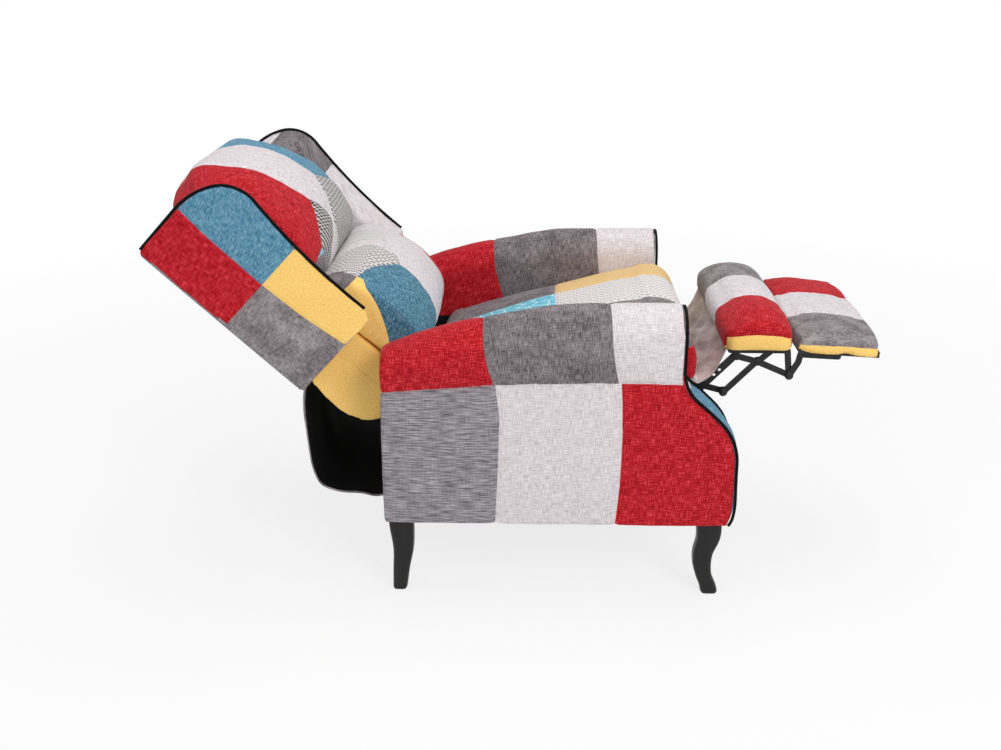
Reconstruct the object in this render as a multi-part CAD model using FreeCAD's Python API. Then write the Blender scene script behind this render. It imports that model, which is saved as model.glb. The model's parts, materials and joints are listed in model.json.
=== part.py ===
import FreeCAD, Part
import math
import os

# Wing-back push-back recliner, reclined with its footrest out, as photographed.
# Millimetres. X runs from the back towards the footrest, Y to the sitter's left, Z up.
# The origin lies on the floor under the middle of the reclined chair.
# Places on the back, the seat and the linkage are measured from the main pivot.

vec = FreeCAD.Vector

# Driving sizes of the chair
overall_width = 760.0
seat_opening = 520.0
arm_length = 724.0
arm_rise = 455.0
leg_height = 185.0
arm_rear = -287.0
pivot_place = 67.0
pivot_rise = 215.0
seat_angle = 13.0
back_angle = 43.0

# Clearances and small shared sizes
overrun = 40.0
cushion_gap = 6.0
soft_gap = 0.3
running_fit = 0.05
end_float = 0.1
plate_gauge = 3.0
layer_gap = 1.5
piping_radius = 3.2
cloth_gauge = 2.0
straight_share = 0.001

# Arms: a rolled top over flat sides, with an S-shaped front
roll_rise = 56.0
crest_shares = [(0.0, 0.811), (0.17, 0.912), (0.39, 0.978), (0.64, 1.0), (1.0, 0.99)]
front_shares = [(0.831, 0.872), (0.831, 0.735), (0.874, 0.588), (0.939, 0.492), (0.9884, 0.30), (0.991, 0.13),
                (0.9875, 0.042), (0.9765, 0.0)]
board_gauge = 18.0
board_rise = 320.0
board_rear_inset = 25.0
board_front_inset = 170.0
board_toe_rise = 170.0
board_toe_inset = 50.0

# Legs: cuts at shares of the height, each with its sway and its size
leg_depth = 38.0
leg_sway = 22.0
foot_size = 30.0
leg_top_size = 57.0
rear_leg_place = 31.0
front_leg_inset = 47.0
rear_leg_shares = [(0.0, -0.3, 0.0), (0.25, -0.12, 0.2), (0.5, 0.12, 0.48), (0.85, 0.0, 0.85), (1.0, 0.0, 0.9)]
front_leg_shares = [(0.0, 0.45, 0.22), (0.03, 0.43, 0.22), (0.23, -0.16, 0.19), (0.36, -0.36, 0.33),
                    (0.49, -0.34, 0.44), (0.68, 0.09, 0.7), (1.0, 0.0, 1.0)]

# Base cross members and pivot plates
cross_rail_gauge = 25.0
cross_rail_height = 60.0
cross_rail_lift = 5.0
rear_rail_place = 5.0
front_rail_place = 354.0
side_plate_gauge = 4.0
side_plate_length = 180.0
side_plate_back = 60.0
side_plate_drop = 100.0
side_plate_round = 30.0
shaft_radius = 8.0

# Seat: along the seat from the pivot, and square to it
seat_start = 34.0
seat_length = 552.0
seat_floor = -20.0
seat_height = 86.0
seat_profile_shares = [(0.0, 0.0), (0.0, 0.52), (0.014, 0.73, 0.074, 0.80), (0.41, 0.99, 0.844, 0.994),
                       (0.962, 0.884, 1.0, 0.40), (1.0, -0.30, 0.972, -0.80), (0.907, -0.80), (0.907, 0.0)]
seat_side_shares = [(-1.0, 0.995, 0.77), (-0.8, 1.0, 0.90), (0.0, 1.0, 1.0), (0.8, 1.0, 0.90), (1.0, 0.995, 0.77)]
seat_rail_width = 26.0
seat_rail_height = 30.0
seat_rail_outer = 240.0
seat_strap_width = 50.0
seat_strap_pitch = 120.0
seat_bracket_radius = 17.0
seat_bracket_elbow = 10.0
seat_bracket_length = 110.0

# Footrest linkage, its eyes measured from the main pivot along X and Z
link_root = (468.0, 2.0)
link_knee = (598.0, 23.0)
link_knee_step = (45.0, -12.0)
bracket_eye = (665.0, 94.0)
flipper_eye = (777.0, 53.0)
link_radius = 6.5
wide_link_radius = 8.0
link_eye_radius = 9.0
stud_radius = 4.0
stud_head_radius = 7.0
stud_head = 1.2
tube_radius = 6.0
tube_place_share = 0.36
link_hole_radius = 3.2
link_hole_shares = (0.36, 0.52)
link_layer = 188.0
link_bracket_radius = 14.0
link_bracket_length = 70.0

# Footrest pads on their boards
pad_board_gauge = 12.0
pad_board_inset = 8.0
pad_board_half_width = 225.0
flange_width = 22.0
main_pad_start = 633.0
main_pad_length = 146.0
main_pad_floor = 126.0
main_pad_height = 63.0
main_pad_half_width = 245.0
main_profile_shares = [(0.02, 0.0), (-0.01, 0.32, 0.05, 0.62), (0.42, 1.0, 0.90, 0.80), (0.995, 0.45, 0.98, 0.0)]
main_side_shares = [(-1.0, 0.98, 0.78), (-0.8, 0.99, 0.90), (0.0, 1.0, 1.0), (0.8, 0.99, 0.90), (1.0, 0.98, 0.78)]
web_bar_rear = 652.0
web_bar_brace = 738.0
flipper_start = 780.0
flipper_length = 182.0
flipper_floor = 120.0
flipper_height = 33.0
flipper_half_width = 241.0
flipper_slope = 3.0
flipper_profile_shares = [(0.015, 0.0), (0.0, 0.45, 0.035, 0.80), (0.45, 1.02, 0.88, 0.86), (1.0, 0.55, 0.965, 0.0)]
flipper_side_shares = [(-1.0, 0.98, 0.78), (-0.8, 0.99, 0.90), (0.0, 1.0, 1.0), (0.8, 0.99, 0.90), (1.0, 0.98, 0.78)]
flipper_bar_elbow = (792.0, 84.0)
flipper_bar_length = 78.0

# Back: up the back from the pivot, and out of its face
back_foot = 204.0
back_head = 620.0
back_face = 20.0
back_rear = 104.0
back_cover_gauge = 9.0
low_back_foot = 22.0
low_back_half_width = 248.0
low_back_nose = 10.0
low_back_heel = 62.0
low_back_heel_rise = 73.0
low_back_heel_bulge = 22.0
back_rail_foot = 70.0
back_rail_width = 32.0
back_rail_depth = 30.0
back_rail_outer = 240.0
back_bracket_radius = 18.0
back_bracket_end = (52.0, -8.0)
wing_inner = 268.0
wing_outer = 344.0
wing_depth = 120.0
wing_round = 8.0
wing_edge_shares = [(1.0, 0.04), (0.945, 0.71), (0.76, 1.0), (0.055, 0.86), (0.02, 0.78)]

# Pillows on the back
head_start = 325.0
head_length = 345.0
head_height = 113.0
head_half_width = 262.0
head_profile_shares = [(0.0, 0.0), (0.017, 0.485, 0.078, 0.746), (0.232, 0.933, 0.42, 1.0),
                       (0.71, 0.82, 0.90, 0.50), (0.99, 0.24, 0.994, -0.18), (0.971, -0.53, 0.856, -0.726),
                       (0.856, 0.0)]
head_side_shares = [(-1.0, 0.98, 0.70), (-0.77, 1.0, 0.80), (-0.38, 1.0, 0.94), (0.0, 1.0, 1.0), (0.38, 1.0, 0.94),
                    (0.77, 1.0, 0.80), (1.0, 0.98, 0.70)]
lumbar_start = 56.0
lumbar_length = 258.0
lumbar_height = 132.0
lumbar_half_width = 247.0
lumbar_profile_shares = [(0.03, 0.0), (-0.02, 0.23, 0.0, 0.49), (0.088, 0.817, 0.279, 0.98),
                         (0.527, 0.993, 0.756, 0.817), (0.927, 0.62, 1.0, 0.26), (0.966, 0.0)]
lumbar_side_shares = [(-1.0, 0.98, 0.76), (-0.88, 0.99, 0.84), (-0.35, 1.0, 0.96), (0.0, 1.0, 1.0),
                      (0.35, 1.0, 0.96), (0.88, 0.99, 0.84), (1.0, 0.98, 0.76)]

# Cloth that folds: the flap behind the back and the web ahead of the seat
flap_half_width = 252.0
flap_fall = 166.0
flap_turn = (47.0, -87.0)
web_half_width = 226.0
web_fold = 9.0

# Sizes that follow from those above
arm_thickness = (overall_width - seat_opening) / 2
arm_inner = seat_opening / 2
arm_middle = arm_inner + arm_thickness / 2
pivot_x = arm_rear + pivot_place
pivot_z = leg_height + pivot_rise
front_leg_place = arm_length - front_leg_inset
cross_rail_floor = leg_height + cross_rail_lift
cushion_half_width = arm_inner - cushion_gap
layer_step = plate_gauge + layer_gap
pad_board_floor = main_pad_floor - pad_board_gauge
bore_radius = stud_radius + running_fit
control_eye = (bracket_eye[0] + link_knee_step[0], bracket_eye[1] + link_knee_step[1])
control_knee = (link_knee[0] + link_knee_step[0], link_knee[1] + link_knee_step[1])
origin_eye = (0.0, 0.0)

nodes = {}


def level_axes(x, z):
    return vec(x, 0, z), vec(1, 0, 0), vec(0, 0, 1)


def tilted_axes(degrees):
    """Along the seat and square to it, from the main pivot."""
    angle = math.radians(degrees)
    along = vec(math.cos(angle), 0, math.sin(angle))
    return vec(pivot_x, 0, pivot_z), along, vec(-along.z, 0, along.x)


def leaning_axes(degrees):
    """Up the back and out of its face, from the main pivot."""
    angle = math.radians(degrees)
    along = vec(-math.cos(angle), 0, math.sin(angle))
    return vec(pivot_x, 0, pivot_z), along, vec(along.z, 0, -along.x)


floor = level_axes(0, 0)
pivot = level_axes(pivot_x, pivot_z)
seat = tilted_axes(seat_angle)
back = leaning_axes(back_angle)


def spot(axes, place, y):
    origin, along, across = axes
    return origin + along * place[0] + across * place[1] + vec(0, y, 0)


def seen_from(axes, place):
    """A place measured from the pivot along X and Z, given in the axes of the seat or the back."""
    reach = vec(place[0], 0, place[1])
    return reach.dot(axes[1]), reach.dot(axes[2])


def plate(axes, places, near, far):
    corners = [spot(axes, place, near) for place in places]
    face = Part.Face(Part.makePolygon(corners + corners[:1]))
    return face.extrude(vec(0, far - near, 0))


def block(axes, a0, a1, b0, b1, near, far):
    return plate(axes, [(a0, b0), (a1, b0), (a1, b1), (a0, b1)], near, far)


def rod(axes, place, radius, near, far):
    return Part.makeCylinder(radius, far - near, spot(axes, place, near), vec(0, 1, 0))


def strip(axes, places, radius, near, far):
    """A flat bar with round ends, through the places in turn."""
    pieces = [rod(axes, place, radius, near, far) for place in places]
    for start, end in zip(places, places[1:]):
        run = vec(end[0] - start[0], end[1] - start[1], 0)
        side = vec(-run.y, run.x, 0).normalize() * radius
        corners = [(start[0] + side.x, start[1] + side.y), (end[0] + side.x, end[1] + side.y),
                   (end[0] - side.x, end[1] - side.y), (start[0] - side.x, start[1] - side.y)]
        pieces.append(plate(axes, corners, near, far))
    return pieces[0].fuse(pieces[1:]).removeSplitter()


def layer(number):
    """The Y planes of one layer of link plates, counted out from the seat's hanging plates."""
    near = link_layer + layer_step * number
    return near, near + plate_gauge


def stud(axes, place, number, other):
    """A riveted stud from the plate in one layer: a shoulder, a pin through the other plate, a head."""
    if other > number:
        foot, near, far, way = layer(number)[1], layer(other)[0], layer(other)[1], 1
    else:
        foot, near, far, way = layer(number)[0], layer(other)[1], layer(other)[0], -1
    head = far + way * end_float
    tip = head + way * stud_head
    shoulder = rod(axes, place, stud_head_radius, *sorted((foot, near - way * end_float)))
    pin = rod(axes, place, stud_radius, *sorted((foot, tip)))
    return [shoulder, pin, rod(axes, place, stud_head_radius, *sorted((head, tip)))]


def tangent_arcs(points, heading):
    """Arcs from point to point, each one leaving as the last one arrived."""
    edges = []
    heading = vec(heading).normalize()
    for start, end in zip(points, points[1:]):
        chord = end - start
        side = chord - heading * chord.dot(heading)
        if side.Length < chord.Length * straight_share:
            edges.append(Part.makeLine(start, end))
            continue
        normal = vec(side).normalize()
        centre = start + normal * (chord.dot(chord) / (2 * chord.dot(normal)))
        middle = centre + (start + end - centre * 2).normalize() * (start - centre).Length
        edges.append(Part.Arc(start, middle, end).toShape())
        chord.normalize()
        heading = chord * (2 * heading.dot(chord)) - heading
    return edges


def beside(edges, distance, axis):
    """The same chain of arcs and lines moved sideways, square to its path."""
    moved = []
    for edge in edges:
        first, last = edge.FirstParameter, edge.LastParameter
        points = []
        for place in (first, (first + last) / 2, last):
            points.append(edge.valueAt(place) + edge.tangentAt(place).cross(axis) * distance)
        if edge.Curve.TypeId == "Part::GeomLine":
            moved.append(Part.makeLine(points[0], points[2]))
        else:
            moved.append(Part.Arc(*points).toShape())
    return moved


def tube(edges, radius):
    start = edges[0]
    ring = Part.makeCircle(radius, start.valueAt(start.FirstParameter), start.tangentAt(start.FirstParameter))
    return Part.Wire(edges).makePipeShell([Part.Wire(ring)], True, False)


def profile(axes, shares, start, base, length, height, anchor, grow, y):
    """A closed outline from shares: a pair is a line's end, and four shares an arc's middle and end."""
    def at(a_share, b_share):
        a = start + length * (anchor + (a_share - anchor) * grow[0])
        return spot(axes, (a, base + height * b_share * grow[1]), y)

    corner = at(*shares[0])
    edges = []
    for step in shares[1:]:
        end = at(step[-2], step[-1])
        if len(step) == 2:
            edges.append(Part.makeLine(corner, end))
        else:
            edges.append(Part.Arc(corner, at(step[0], step[1]), end).toShape())
        corner = end
    edges.append(Part.makeLine(corner, at(*shares[0])))
    return Part.Wire(edges)


def pillow(axes, shares, start, base, length, height, half_width, side_shares, anchor=0.5):
    """A cushion: its crown in the middle, thinner and drawn in towards its two sewn sides."""
    cuts = []
    for y_share, length_share, height_share in side_shares:
        grow = (length_share, height_share)
        cuts.append(profile(axes, shares, start, base, length, height, anchor, grow, half_width * y_share))
    return Part.makeLoft(cuts, True, False)


def cloth(edges, half_width, axis):
    """A sheet of cloth across the chair, from the line that its lower face follows."""
    other = beside(edges, cloth_gauge, axis)
    ends = [Part.makeLine(edges[-1].valueAt(edges[-1].LastParameter), other[-1].valueAt(other[-1].LastParameter)),
            Part.makeLine(other[0].valueAt(other[0].FirstParameter), edges[0].valueAt(edges[0].FirstParameter))]
    outline = Part.Wire(Part.__sortEdges__(edges + other + ends))
    return Part.Face(outline).extrude(vec(0, 2 * half_width, 0))


def both_sides(name, shape):
    nodes[name + "_left"] = shape
    nodes[name + "_right"] = shape.mirror(vec(0, 0, 0), vec(0, 1, 0))


# Arms
def arm_front(y):
    points = [vec(arm_rear + arm_length * a, y, leg_height + arm_rise * b) for a, b in front_shares]
    return tangent_arcs(points, vec(0, 0, -1))


def arm_board():
    rear = arm_rear + board_rear_inset
    front = arm_rear + arm_length - board_front_inset
    toe = arm_rear + arm_length - board_toe_inset
    top = leg_height + board_rise
    places = [(rear, leg_height), (toe, leg_height), (toe, leg_height + board_toe_rise), (front, top), (rear, top)]
    return plate(floor, places, arm_middle - board_gauge / 2, arm_middle + board_gauge / 2)


def arm_cover():
    cuts = []
    for x_share, crest_share in crest_shares:
        x = arm_rear + arm_length * x_share
        crest = leg_height + arm_rise * crest_share
        low = [vec(x, arm_inner, leg_height), vec(x, arm_inner + arm_thickness, leg_height)]
        high = [vec(x, point.y, crest - roll_rise) for point in low]
        edges = [Part.makeLine(low[0], low[1]), Part.makeLine(low[1], high[1]),
                 Part.Arc(high[1], vec(x, arm_middle, crest), high[0]).toShape(), Part.makeLine(high[0], low[0])]
        cuts.append(Part.Wire(edges))
    front = arm_front(arm_inner - overrun)
    head = front[0].valueAt(front[0].FirstParameter)
    foot = front[-1].valueAt(front[-1].LastParameter)
    rear = arm_rear - overrun
    top = leg_height + arm_rise + overrun
    corners = [foot, vec(rear, foot.y, foot.z), vec(rear, foot.y, top), vec(head.x, foot.y, top), head]
    outline = Part.Wire(front + Part.makePolygon(corners).Edges)
    side = Part.Face(outline).extrude(vec(0, arm_thickness + 2 * overrun, 0))
    return Part.makeLoft(cuts, True, False).common(side).cut(arm_board())


def arm_piping():
    """Cord up the outer front edge, over the roll and down the inner front edge."""
    outer = beside(arm_front(arm_inner + arm_thickness - piping_radius), piping_radius, vec(0, 1, 0))
    middle = vec(0, arm_middle, 0)
    inner = [edge.mirror(middle, vec(0, 1, 0)) for edge in outer]
    top = outer[0].valueAt(outer[0].FirstParameter)
    crest = vec(top.x, arm_middle, top.z + roll_rise - piping_radius)
    arch = Part.Arc(top, crest, inner[0].valueAt(inner[0].FirstParameter)).toShape()
    path = Part.__sortEdges__(outer + [arch] + inner)
    return tube(path, piping_radius)


# Base
def leg(place, shares):
    cuts = []
    for height_share, sway_share, size_share in shares:
        half = (foot_size + (leg_top_size - foot_size) * size_share) / 2
        x = arm_rear + place + leg_sway * sway_share
        z = leg_height * height_share
        near = arm_middle - leg_depth / 2
        far = arm_middle + leg_depth / 2
        corners = [vec(x - half, near, z), vec(x + half, near, z), vec(x + half, far, z), vec(x - half, far, z)]
        cuts.append(Part.makePolygon(corners + corners[:1]))
    return Part.makeLoft(cuts, True, False)


def cross_rail(place):
    x = arm_rear + place
    top = cross_rail_floor + cross_rail_height
    return block(floor, x, x + cross_rail_gauge, cross_rail_floor, top, -arm_inner, arm_inner)


def side_plate():
    near = arm_inner - side_plate_gauge
    places = [(-side_plate_back, -side_plate_drop), (side_plate_length, -side_plate_drop),
              (side_plate_length, -side_plate_round), (side_plate_round, side_plate_round),
              (-side_plate_round, side_plate_round), (-side_plate_back, 0)]
    bore = rod(pivot, origin_eye, shaft_radius + running_fit, near - overrun, arm_inner + overrun)
    return plate(pivot, places, near, arm_inner).cut(bore)


def make_base():
    both_sides("arm_cover", arm_cover())
    both_sides("arm_board", arm_board())
    both_sides("arm_piping", arm_piping())
    both_sides("rear_leg", leg(rear_leg_place, rear_leg_shares))
    both_sides("front_leg", leg(front_leg_place, front_leg_shares))
    both_sides("side_plate", side_plate())
    nodes["rear_cross_rail"] = cross_rail(rear_rail_place)
    nodes["front_cross_rail"] = cross_rail(front_rail_place)
    nodes["pivot_shaft"] = rod(pivot, origin_eye, shaft_radius, -arm_inner, arm_inner)
    start = arm_rear + rear_rail_place
    end = arm_rear + front_rail_place + cross_rail_gauge
    nodes["dust_cover"] = block(floor, start, end, cross_rail_floor - cloth_gauge, cross_rail_floor,
                                -cushion_half_width, cushion_half_width)


# Seat
def make_seat():
    rail_top = seat_floor - cloth_gauge
    rail_foot = rail_top - seat_rail_height
    front = seat_start + seat_length * seat_profile_shares[-1][0]
    rear = seat_start
    inner = seat_rail_outer - seat_rail_width
    nodes["seat_cushion"] = pillow(seat, seat_profile_shares, seat_start, seat_floor, seat_length, seat_height,
                                   cushion_half_width, seat_side_shares, seat_profile_shares[-1][0])
    both_sides("seat_rail", block(seat, rear + seat_rail_width, front - seat_rail_width, rail_foot, rail_top,
                                  inner, seat_rail_outer))
    for name, a in (("rear", rear), ("front", front - seat_rail_width)):
        nodes["seat_rail_" + name] = block(seat, a, a + seat_rail_width, rail_foot, rail_top,
                                           -seat_rail_outer, seat_rail_outer)
    for name, y in (("left", seat_strap_pitch), ("middle", 0), ("right", -seat_strap_pitch)):
        nodes["seat_strap_" + name] = block(seat, rear, front, rail_top, seat_floor,
                                            y - seat_strap_width / 2, y + seat_strap_width / 2)
    far = seat_rail_outer + plate_gauge
    level = rail_top - seat_bracket_radius
    bracket = strip(seat, [origin_eye, (seat_bracket_elbow, level), (seat_bracket_length, level)],
                    seat_bracket_radius, seat_rail_outer, far)
    bore = rod(seat, origin_eye, shaft_radius + running_fit, seat_rail_outer - overrun, far + overrun)
    both_sides("seat_bracket", bracket.cut(bore))
    eye = seen_from(seat, link_root)
    near, far = layer(0)
    flange_foot = rail_foot - plate_gauge
    shoulder = flange_foot - link_bracket_radius
    half = link_bracket_length / 2
    hanger = strip(seat, [eye, (eye[0], shoulder)], link_bracket_radius, near, far)
    neck = block(seat, eye[0] - link_bracket_radius, eye[0] + link_bracket_radius, shoulder, rail_foot, near, far)
    flange = block(seat, eye[0] - half, eye[0] + half, flange_foot, rail_foot, near, seat_rail_outer)
    pieces = [neck, flange] + stud(seat, eye, 0, 1)
    both_sides("link_bracket", hanger.fuse(pieces).removeSplitter())
    lip = seat_profile_shares[-3]
    lip_place = (seat_start + seat_length * lip[-2] + cloth_gauge + soft_gap, seat_floor + seat_height * lip[-1])
    foot = spot(seat, lip_place, -web_half_width)
    pad_edge = main_pad_start + pad_board_inset - soft_gap
    head = spot(pivot, (pad_edge, main_pad_floor - cloth_gauge - soft_gap), -web_half_width)
    middle = (foot + head) * 0.5
    fold = (head - foot).cross(vec(0, 1, 0)).normalize() * web_fold
    quarters = [(foot + middle) * 0.5 - fold, (middle + head) * 0.5 + fold]
    edges = [Part.Arc(foot, quarters[0], middle).toShape(), Part.Arc(middle, quarters[1], head).toShape()]
    nodes["footrest_web"] = cloth(edges, web_half_width, vec(0, 1, 0))


# Footrest linkage
def link_eyes(places, number):
    return [rod(pivot, place, link_eye_radius, *layer(number)) for place in places]


def link(places, radius, number):
    """A flat link with a round eye and a bore at each end."""
    near, far = layer(number)
    ends = (places[0], places[-1])
    bar = strip(pivot, places, radius, near, far).fuse(link_eyes(ends, number)).removeSplitter()
    for place in ends:
        bar = bar.cut(rod(pivot, place, bore_radius, near - overrun, far + overrun))
    return bar


def make_links():
    near, far = layer(1)
    places = [link_root, link_knee, control_knee]
    rear_link = strip(pivot, places, link_radius, near, far).fuse(link_eyes(places, 1))
    rear_link = rear_link.cut(rod(pivot, link_root, bore_radius, near - overrun, far + overrun))
    studs = stud(pivot, link_knee, 1, 2) + stud(pivot, control_knee, 1, 3)
    both_sides("rear_link", rear_link.fuse(studs).removeSplitter())
    place = [start + (end - start) * tube_place_share for start, end in zip(link_root, link_knee)]
    nodes["link_tube"] = rod(pivot, place, tube_radius, -near, near)
    front_link = link([link_knee, bracket_eye], wide_link_radius, 2)
    near, far = layer(2)
    for share in link_hole_shares:
        place = [start + (end - start) * share for start, end in zip(link_knee, bracket_eye)]
        front_link = front_link.cut(rod(pivot, place, link_hole_radius, near - overrun, far + overrun))
    both_sides("front_link", front_link)
    both_sides("control_link", link([control_knee, control_eye], link_radius, 3))


# Footrest and its flipper
def pad_board(axes, start, length, floor_place, gauge):
    return block(axes, start + pad_board_inset, start + length - pad_board_inset, floor_place - gauge, floor_place,
                 -pad_board_half_width, pad_board_half_width)


def make_footrest():
    nodes["footrest_pad"] = pillow(pivot, main_profile_shares, main_pad_start, main_pad_floor, main_pad_length,
                                   main_pad_height, main_pad_half_width, main_side_shares)
    nodes["footrest_board"] = pad_board(pivot, main_pad_start, main_pad_length, main_pad_floor, pad_board_gauge)
    near, far = layer(4)
    top = pad_board_floor
    bar = top - link_radius
    front = flipper_eye[0] - link_radius
    web = strip(pivot, [(web_bar_rear, bar), (front, bar), flipper_eye], link_radius, near, far)
    brace = strip(pivot, [bracket_eye, control_eye, (web_bar_brace, bar)], link_radius, near, far)
    stay = strip(pivot, [control_eye, flipper_eye], link_radius, near, far)
    flange = block(pivot, web_bar_rear, front, top - plate_gauge, top, far - flange_width, far)
    studs = stud(pivot, bracket_eye, 4, 2) + stud(pivot, control_eye, 4, 3) + stud(pivot, flipper_eye, 4, 5)
    eyes = link_eyes((bracket_eye, control_eye, flipper_eye), 4)
    both_sides("footrest_bracket", web.fuse([brace, stay, flange] + eyes + studs).removeSplitter())


def make_flipper():
    pad = pillow(pivot, flipper_profile_shares, flipper_start, flipper_floor, flipper_length, flipper_height,
                 flipper_half_width, flipper_side_shares)
    board = pad_board(pivot, flipper_start, flipper_length, flipper_floor, pad_board_gauge)
    near, far = layer(5)
    top = flipper_floor - pad_board_gauge
    start = flipper_start + pad_board_inset + link_radius
    arm = strip(pivot, [flipper_eye, flipper_bar_elbow, (start, top - link_radius),
                        (start + flipper_bar_length, top - link_radius)], link_radius, near, far)
    flange = block(pivot, start, start + flipper_bar_length, top - plate_gauge, top, far - flange_width, far)
    bracket = arm.fuse([flange] + link_eyes((flipper_eye,), 5)).removeSplitter()
    bracket = bracket.cut(rod(pivot, flipper_eye, bore_radius, near - overrun, far + overrun))
    for shape in (pad, board, bracket):
        shape.rotate(spot(pivot, flipper_eye, 0), vec(0, 1, 0), flipper_slope)
    nodes["flipper_pad"] = pad
    nodes["flipper_board"] = board
    both_sides("flipper_bracket", bracket)


# Back
def wing():
    rise = back_head - back_foot
    near = spot(back, (back_head, -back_rear), wing_inner)
    points = [near] + [spot(back, (back_foot + rise * a, wing_depth * b), wing_inner) for a, b in wing_edge_shares]
    edges = tangent_arcs(points, back[2])
    foot = spot(back, (back_foot, wing_depth * wing_edge_shares[-1][1]), wing_inner)
    rest = Part.makePolygon([points[-1], foot, spot(back, (back_foot, -back_rear), wing_inner), near]).Edges
    body = Part.Face(Part.Wire(edges + rest)).extrude(vec(0, wing_outer - wing_inner, 0))
    inner = [edge for edge in body.Edges if edge.BoundBox.YMax < wing_inner + piping_radius]
    rounded = []
    for edge in inner:
        middle = edge.valueAt((edge.FirstParameter + edge.LastParameter) / 2) - back[0]
        if middle.dot(back[2]) > 0 and middle.dot(back[1]) > back_foot:
            rounded.append(edge)
    piping = beside(edges[:-1], piping_radius, vec(0, 1, 0))
    for edge in piping:
        edge.translate(vec(0, wing_outer - wing_inner - piping_radius, 0))
    return body.makeFillet(wing_round, rounded), tube(piping, piping_radius)


def back_core():
    upper = block(back, back_foot, back_head, -back_rear, back_face, -wing_inner, wing_inner)
    places = [(back_foot, -back_rear), (back_foot, back_face), (low_back_foot + low_back_nose, back_face),
              (low_back_foot, low_back_nose), (low_back_foot, -low_back_heel)]
    corners = [spot(back, place, -low_back_half_width) for place in places]
    heel = spot(back, (low_back_foot + low_back_heel_rise, -back_rear), -low_back_half_width)
    bulge = (corners[-1] + heel) * 0.5 - (back[1] + back[2]).normalize() * (low_back_heel_bulge / 2)
    edges = Part.makePolygon(corners).Edges
    edges += [Part.Arc(corners[-1], bulge, heel).toShape(), Part.makeLine(heel, corners[0])]
    lower = Part.Face(Part.Wire(edges)).extrude(vec(0, 2 * low_back_half_width, 0))
    recess = block(back, back_rail_foot, back_head - back_rail_width / 2, -back_rear, back_rail_depth - back_rear,
                   -back_rail_outer, back_rail_outer)
    return upper.fuse(lower).cut(recess).removeSplitter()


def make_back():
    nodes["back_core"] = back_core()
    nodes["back_cover"] = block(back, back_foot, back_head, -back_rear - back_cover_gauge, -back_rear,
                                -wing_outer, wing_outer)
    shape, cord = wing()
    both_sides("wing", shape)
    both_sides("wing_piping", cord)
    low = -back_rear
    high = back_rail_depth - back_rear
    top = back_head - back_rail_width / 2
    inner = back_rail_outer - back_rail_width
    both_sides("back_rail", block(back, back_rail_foot, top, low, high, inner, back_rail_outer))
    nodes["back_rail_top"] = block(back, top - back_rail_width, top, low, high, -inner, inner)
    nodes["back_rail_bottom"] = block(back, back_rail_foot, back_rail_foot + back_rail_width, low, high, -inner, inner)
    nodes["head_pillow"] = pillow(back, head_profile_shares, head_start, back_face, head_length, head_height,
                                  head_half_width, head_side_shares, head_profile_shares[-1][0])
    nodes["lumbar_pillow"] = pillow(back, lumbar_profile_shares, lumbar_start, back_face, lumbar_length,
                                    lumbar_height, lumbar_half_width, lumbar_side_shares)
    far = low_back_half_width + plate_gauge
    bracket = strip(back, [origin_eye, back_bracket_end], back_bracket_radius, low_back_half_width, far)
    bore = rod(back, origin_eye, shaft_radius + running_fit, low_back_half_width - overrun, far + overrun)
    both_sides("back_bracket", bracket.cut(bore))
    head = spot(back, (back_foot, -back_rear - back_cover_gauge), -flap_half_width)
    turn = head - vec(0, 0, flap_fall)
    heel = turn + vec(flap_turn[0], 0, flap_turn[1])
    toe = vec(arm_rear + rear_rail_place, -flap_half_width, cross_rail_floor + cloth_gauge)
    nodes["back_flap"] = cloth(tangent_arcs([head, turn, heel, toe], vec(0, 0, -1)), flap_half_width, vec(0, 1, 0))


make_base()
make_seat()
make_links()
make_footrest()
make_flipper()
make_back()

os.makedirs("parts", exist_ok=True)
whole = Part.makeCompound(list(nodes.values())).BoundBox
for name, shape in nodes.items():
    if len(shape.Solids) == 1:
        shape = shape.Solids[0]
    shape.exportStep("parts/" + name + ".step")
    print(name, shape.ShapeType, "valid", shape.isValid(), "volume", round(shape.Volume))
print(len(nodes), "nodes, X", round(whole.XMin, 1), round(whole.XMax, 1), "Y", round(whole.YMin, 1),
      round(whole.YMax, 1), "Z", round(whole.ZMin, 1), round(whole.ZMax, 1))
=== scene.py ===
import json
import math

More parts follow.
